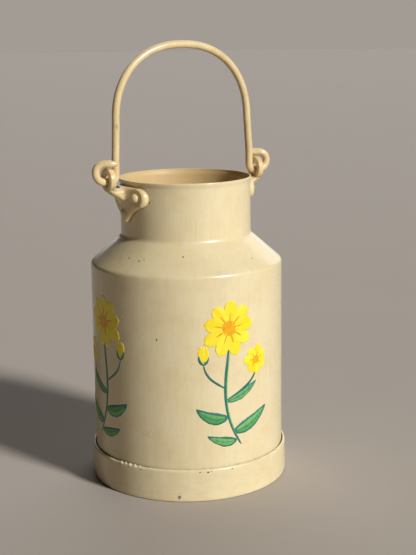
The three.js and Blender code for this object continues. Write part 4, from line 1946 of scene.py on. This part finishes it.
@dataclass(frozen=True)
class Marks:
    """The chips, specks and lumps that the paint shows, and the tones of the marks and of the thick coat. The
    brown stands for painted shade in the ears' recesses, and the pale tone for a painted highlight on some
    lumps.
    """

    rust: Colour = srgb(120, 82, 40)
    metal: Colour = srgb(128, 126, 122)
    # Pale marks and lumps; on the lumps of the hoop's top edge this tone is a painted highlight.
    pale: Colour = srgb(246, 236, 208)
    worn: Colour = srgb(176, 166, 140)
    tan: Colour = srgb(212, 181, 127)
    # A brown laid in the ears' recesses as painted shade, and on one small speck on the neck.
    recess_shade_and_speck: Colour = srgb(134, 98, 50)
    cream: Colour = srgb(233, 216, 174)
    thick_light: Colour = srgb(235, 213, 164)
    thick_deep: Colour = srgb(213, 185, 130)
    smudge: Colour = srgb(216, 208, 180)
    dark: Colour = srgb(84, 60, 32)

    def on_body(self) -> tuple[Chip, ...]:
        """Marks on the body and shoulder, by azimuth and height."""
        return (
            Chip(-139.7, 183.6, 110.0, 1.2, self.rust),
            Chip(-162.0, 204.7, 110.0, 1.7, self.pale, 1.3, -1.5),
            Chip(-154.8, 265.8, 95.0, 1.3, self.rust, 0.7),
            Chip(-164.3, 267.3, 93.2, 1.1, self.rust, 0.7),
            Chip(-151.5, 267.3, 93.2, 1.0, self.rust, 0.7),
            Chip(-124.2, 271.3, 88.7, 1.1, self.rust, 0.8),
            Chip(-73.5, 264.1, 96.8, 1.4, self.rust, 0.5),
            Chip(-124.5, 284.6, 76.0, 3.0, self.smudge, 1.2, 0.0),
            Chip(-152.0, 333.0, 74.6, 1.6, self.cream, 1.5, -2.5),
            Chip(-149.0, 329.0, 74.6, 1.2, self.cream, 1.2, -2.5),
            # A small sunk brown speck among the lumps by the left ear.
            Chip(-153.5, 327.0, 74.6, 1.0, self.recess_shade_and_speck, 1.6, 0.8),
            Chip(-145.1, 74.5, 110.0, 1.9, self.cream, 1.3, -2.5),
            Chip(-132.3, 83.4, 110.0, 1.2, self.cream, 1.3, -2.5),
            Chip(-159.0, 224.5, 110.0, 1.0, self.cream, 1.3, -2.5),
            Chip(-133.7, 125.6, 110.0, 0.9, self.cream, 1.3, -2.5),
            Chip(30.0, 90.0, 110.0, 1.3, self.rust),
            Chip(75.0, 215.0, 110.0, 1.0, self.rust, 1.6),
            Chip(140.0, 52.0, 110.0, 1.4, self.metal),
        )

    def on_hoop(self) -> tuple[Chip, ...]:
        """Marks on the foot hoop; the pale lumps on its top edge carry a painted highlight."""
        return (
            Chip(-128.0, 5.6, 114.0, 2.1, self.metal, 1.1),
            Chip(-116.2, 34.3, 113.7, 1.3, self.rust, 0.5),
            Chip(-111.7, 34.0, 113.8, 1.7, self.dark, 0.6),
            Chip(-109.8, 34.6, 113.6, 1.1, self.rust, 0.6),
            Chip(-97.4, 34.4, 113.7, 1.4, self.rust, 0.4),
            Chip(-92.0, 35.2, 113.4, 1.2, self.pale, 0.5, -2.0),
            Chip(-165.5, 34.2, 113.7, 1.4, self.dark, 0.5),
            Chip(-158.6, 34.0, 113.8, 1.1, self.rust, 0.5),
            Chip(-150.5, 34.3, 113.7, 1.4, self.rust, 0.5),
            # Raised paint lumps on the hoop's top edge, painted pale as a highlight.
            Chip(-163.5, 36.2, 112.8, 2.4, self.pale, 0.7, -2.0),
            Chip(-158.0, 36.0, 112.9, 2.6, self.pale, 0.7, -2.0),
            Chip(-153.8, 35.6, 113.1, 2.0, self.pale, 0.7, -2.0),
            Chip(-46.0, 2.5, 113.6, 1.6, self.metal),
            Chip(62.0, 3.0, 113.6, 2.2, self.metal),
        )

    def in_groove(self) -> tuple[Seam, ...]:
        """Dirt in the groove between the body and the top of the foot hoop."""
        return (Seam(110.9, 36.4, 0.9, self.dark), Seam(110.5, 34.0, 1.6, self.dark))

    def on_bail(self) -> tuple[Chip, ...]:
        """The worn spots on one leg of the bail."""
        return (
            Chip(-178.0, 409.0, 88.5, 2.0, self.worn, 2.6),
            Chip(-178.0, 396.0, 88.5, 1.2, self.worn, 2.2),
        )


@dataclass
class MilkCan:
    """The whole can: makes each piece, sets its body and says which nodes it stands for."""

    can: Can = field(default_factory=Can)
    hoop: FootHoop = field(default_factory=FootHoop)
    ear: Ear = field(default_factory=Ear)
    rivet: Rivet = field(default_factory=Rivet)
    bail: Bail = field(default_factory=Bail)
    marks: Marks = field(default_factory=Marks)
    spray_middles: tuple[float, ...] = (-94.0, -184.0, 86.0, -4.0)
    painter_seed: int = 7

    def place(
        self, surface: Surface, name: str, material: bpy.types.Material, body: Body, slot: Slot, *nodes: str
    ) -> None:
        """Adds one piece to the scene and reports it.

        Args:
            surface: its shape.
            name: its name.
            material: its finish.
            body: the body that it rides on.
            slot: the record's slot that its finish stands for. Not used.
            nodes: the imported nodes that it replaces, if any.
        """
        piece = surface.to_object(name, material)
        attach(piece, body.value)
        if nodes:
            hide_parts(*nodes)
        stands_for = ", ".join(nodes) or "no node"
        log.info("%s: %d points on %s, for %s", name, len(surface.points), body.value, stands_for)

    def build(self) -> None:
        """Makes every piece."""
        marks = self.marks
        thick = functools.partial(
            CreamPaint, coat=Coat.DABBED, light=marks.thick_light, deep=marks.thick_deep
        )
        body_paint = CreamPaint(
            "can_cream", Coat.DOWN, chips=marks.on_body(), seams=marks.in_groove(), inner=marks.tan
        ).material()
        hoop_paint = CreamPaint(
            "hoop_cream", Coat.AROUND, chips=marks.on_hoop(), seams=marks.in_groove()
        ).material()
        # The ears' paint darkens to painted shade in their recesses, by the tint from Ear.recess.
        cast_paint = thick("ear_cream_recess_shaded", inner=marks.recess_shade_and_speck, relief_mm=0.16).material()
        rod_paint = thick("bail_cream", chips=marks.on_bail(), relief_mm=0.10).material()
        self.place(self.can.shell(), "can_wall", body_paint, Body.CAN, Slot.CAN, "can_shell", "can_breast")
        self.place(self.hoop.band(), "foot_band", hoop_paint, Body.CAN, Slot.CAN, "foot_hoop")
        casting = self.ear.casting()
        rivets = (*self.ear.upper_rivets, self.ear.low_rivet)
        for side, turn in (("right", 0.0), ("left", 180.0)):
            ear = casting.turned(math.radians(turn))
            self.place(ear, f"cast_ear_{side}", cast_paint, Body.CAN, Slot.EAR, f"ear_{side}")
            for spot, (angle, height) in zip(("front", "back", "low"), rivets):
                sunk = self.rivet.low_sunk if spot == "low" else 0.0
                pin, name = self.rivet.pin(turn + angle, height, sunk), f"{side}_{spot}"
                self.place(pin, f"pin_{name}", cast_paint, Body.CAN, Slot.EAR, f"rivet_{name}")
        self.place(self.bail.rod(), "bail_rod", rod_paint, Body.BAIL, Slot.BAIL, "bail")
        self.flowers()

    def flowers(self) -> None:
        """Paints the sprays round the body, every second one mirrored, as one piece for each paint."""
        painter = Painter(self.can, self.painter_seed)
        for number, middle in enumerate(self.spray_middles):
            Spray(painter, middle, 1 if number % 2 == 0 else -1).paint()
        for hue, surface in painter.laid.items():
            self.place(surface, f"painted_{hue.value}", PAINTS[hue].material(), Body.CAN, Slot.CAN)


def main() -> None:
    logging.basicConfig(level=logging.INFO, format="%(message)s", stream=sys.stdout)
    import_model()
    Studio().build()
    MilkCan().build()


if __name__ == "__main__":
    main()
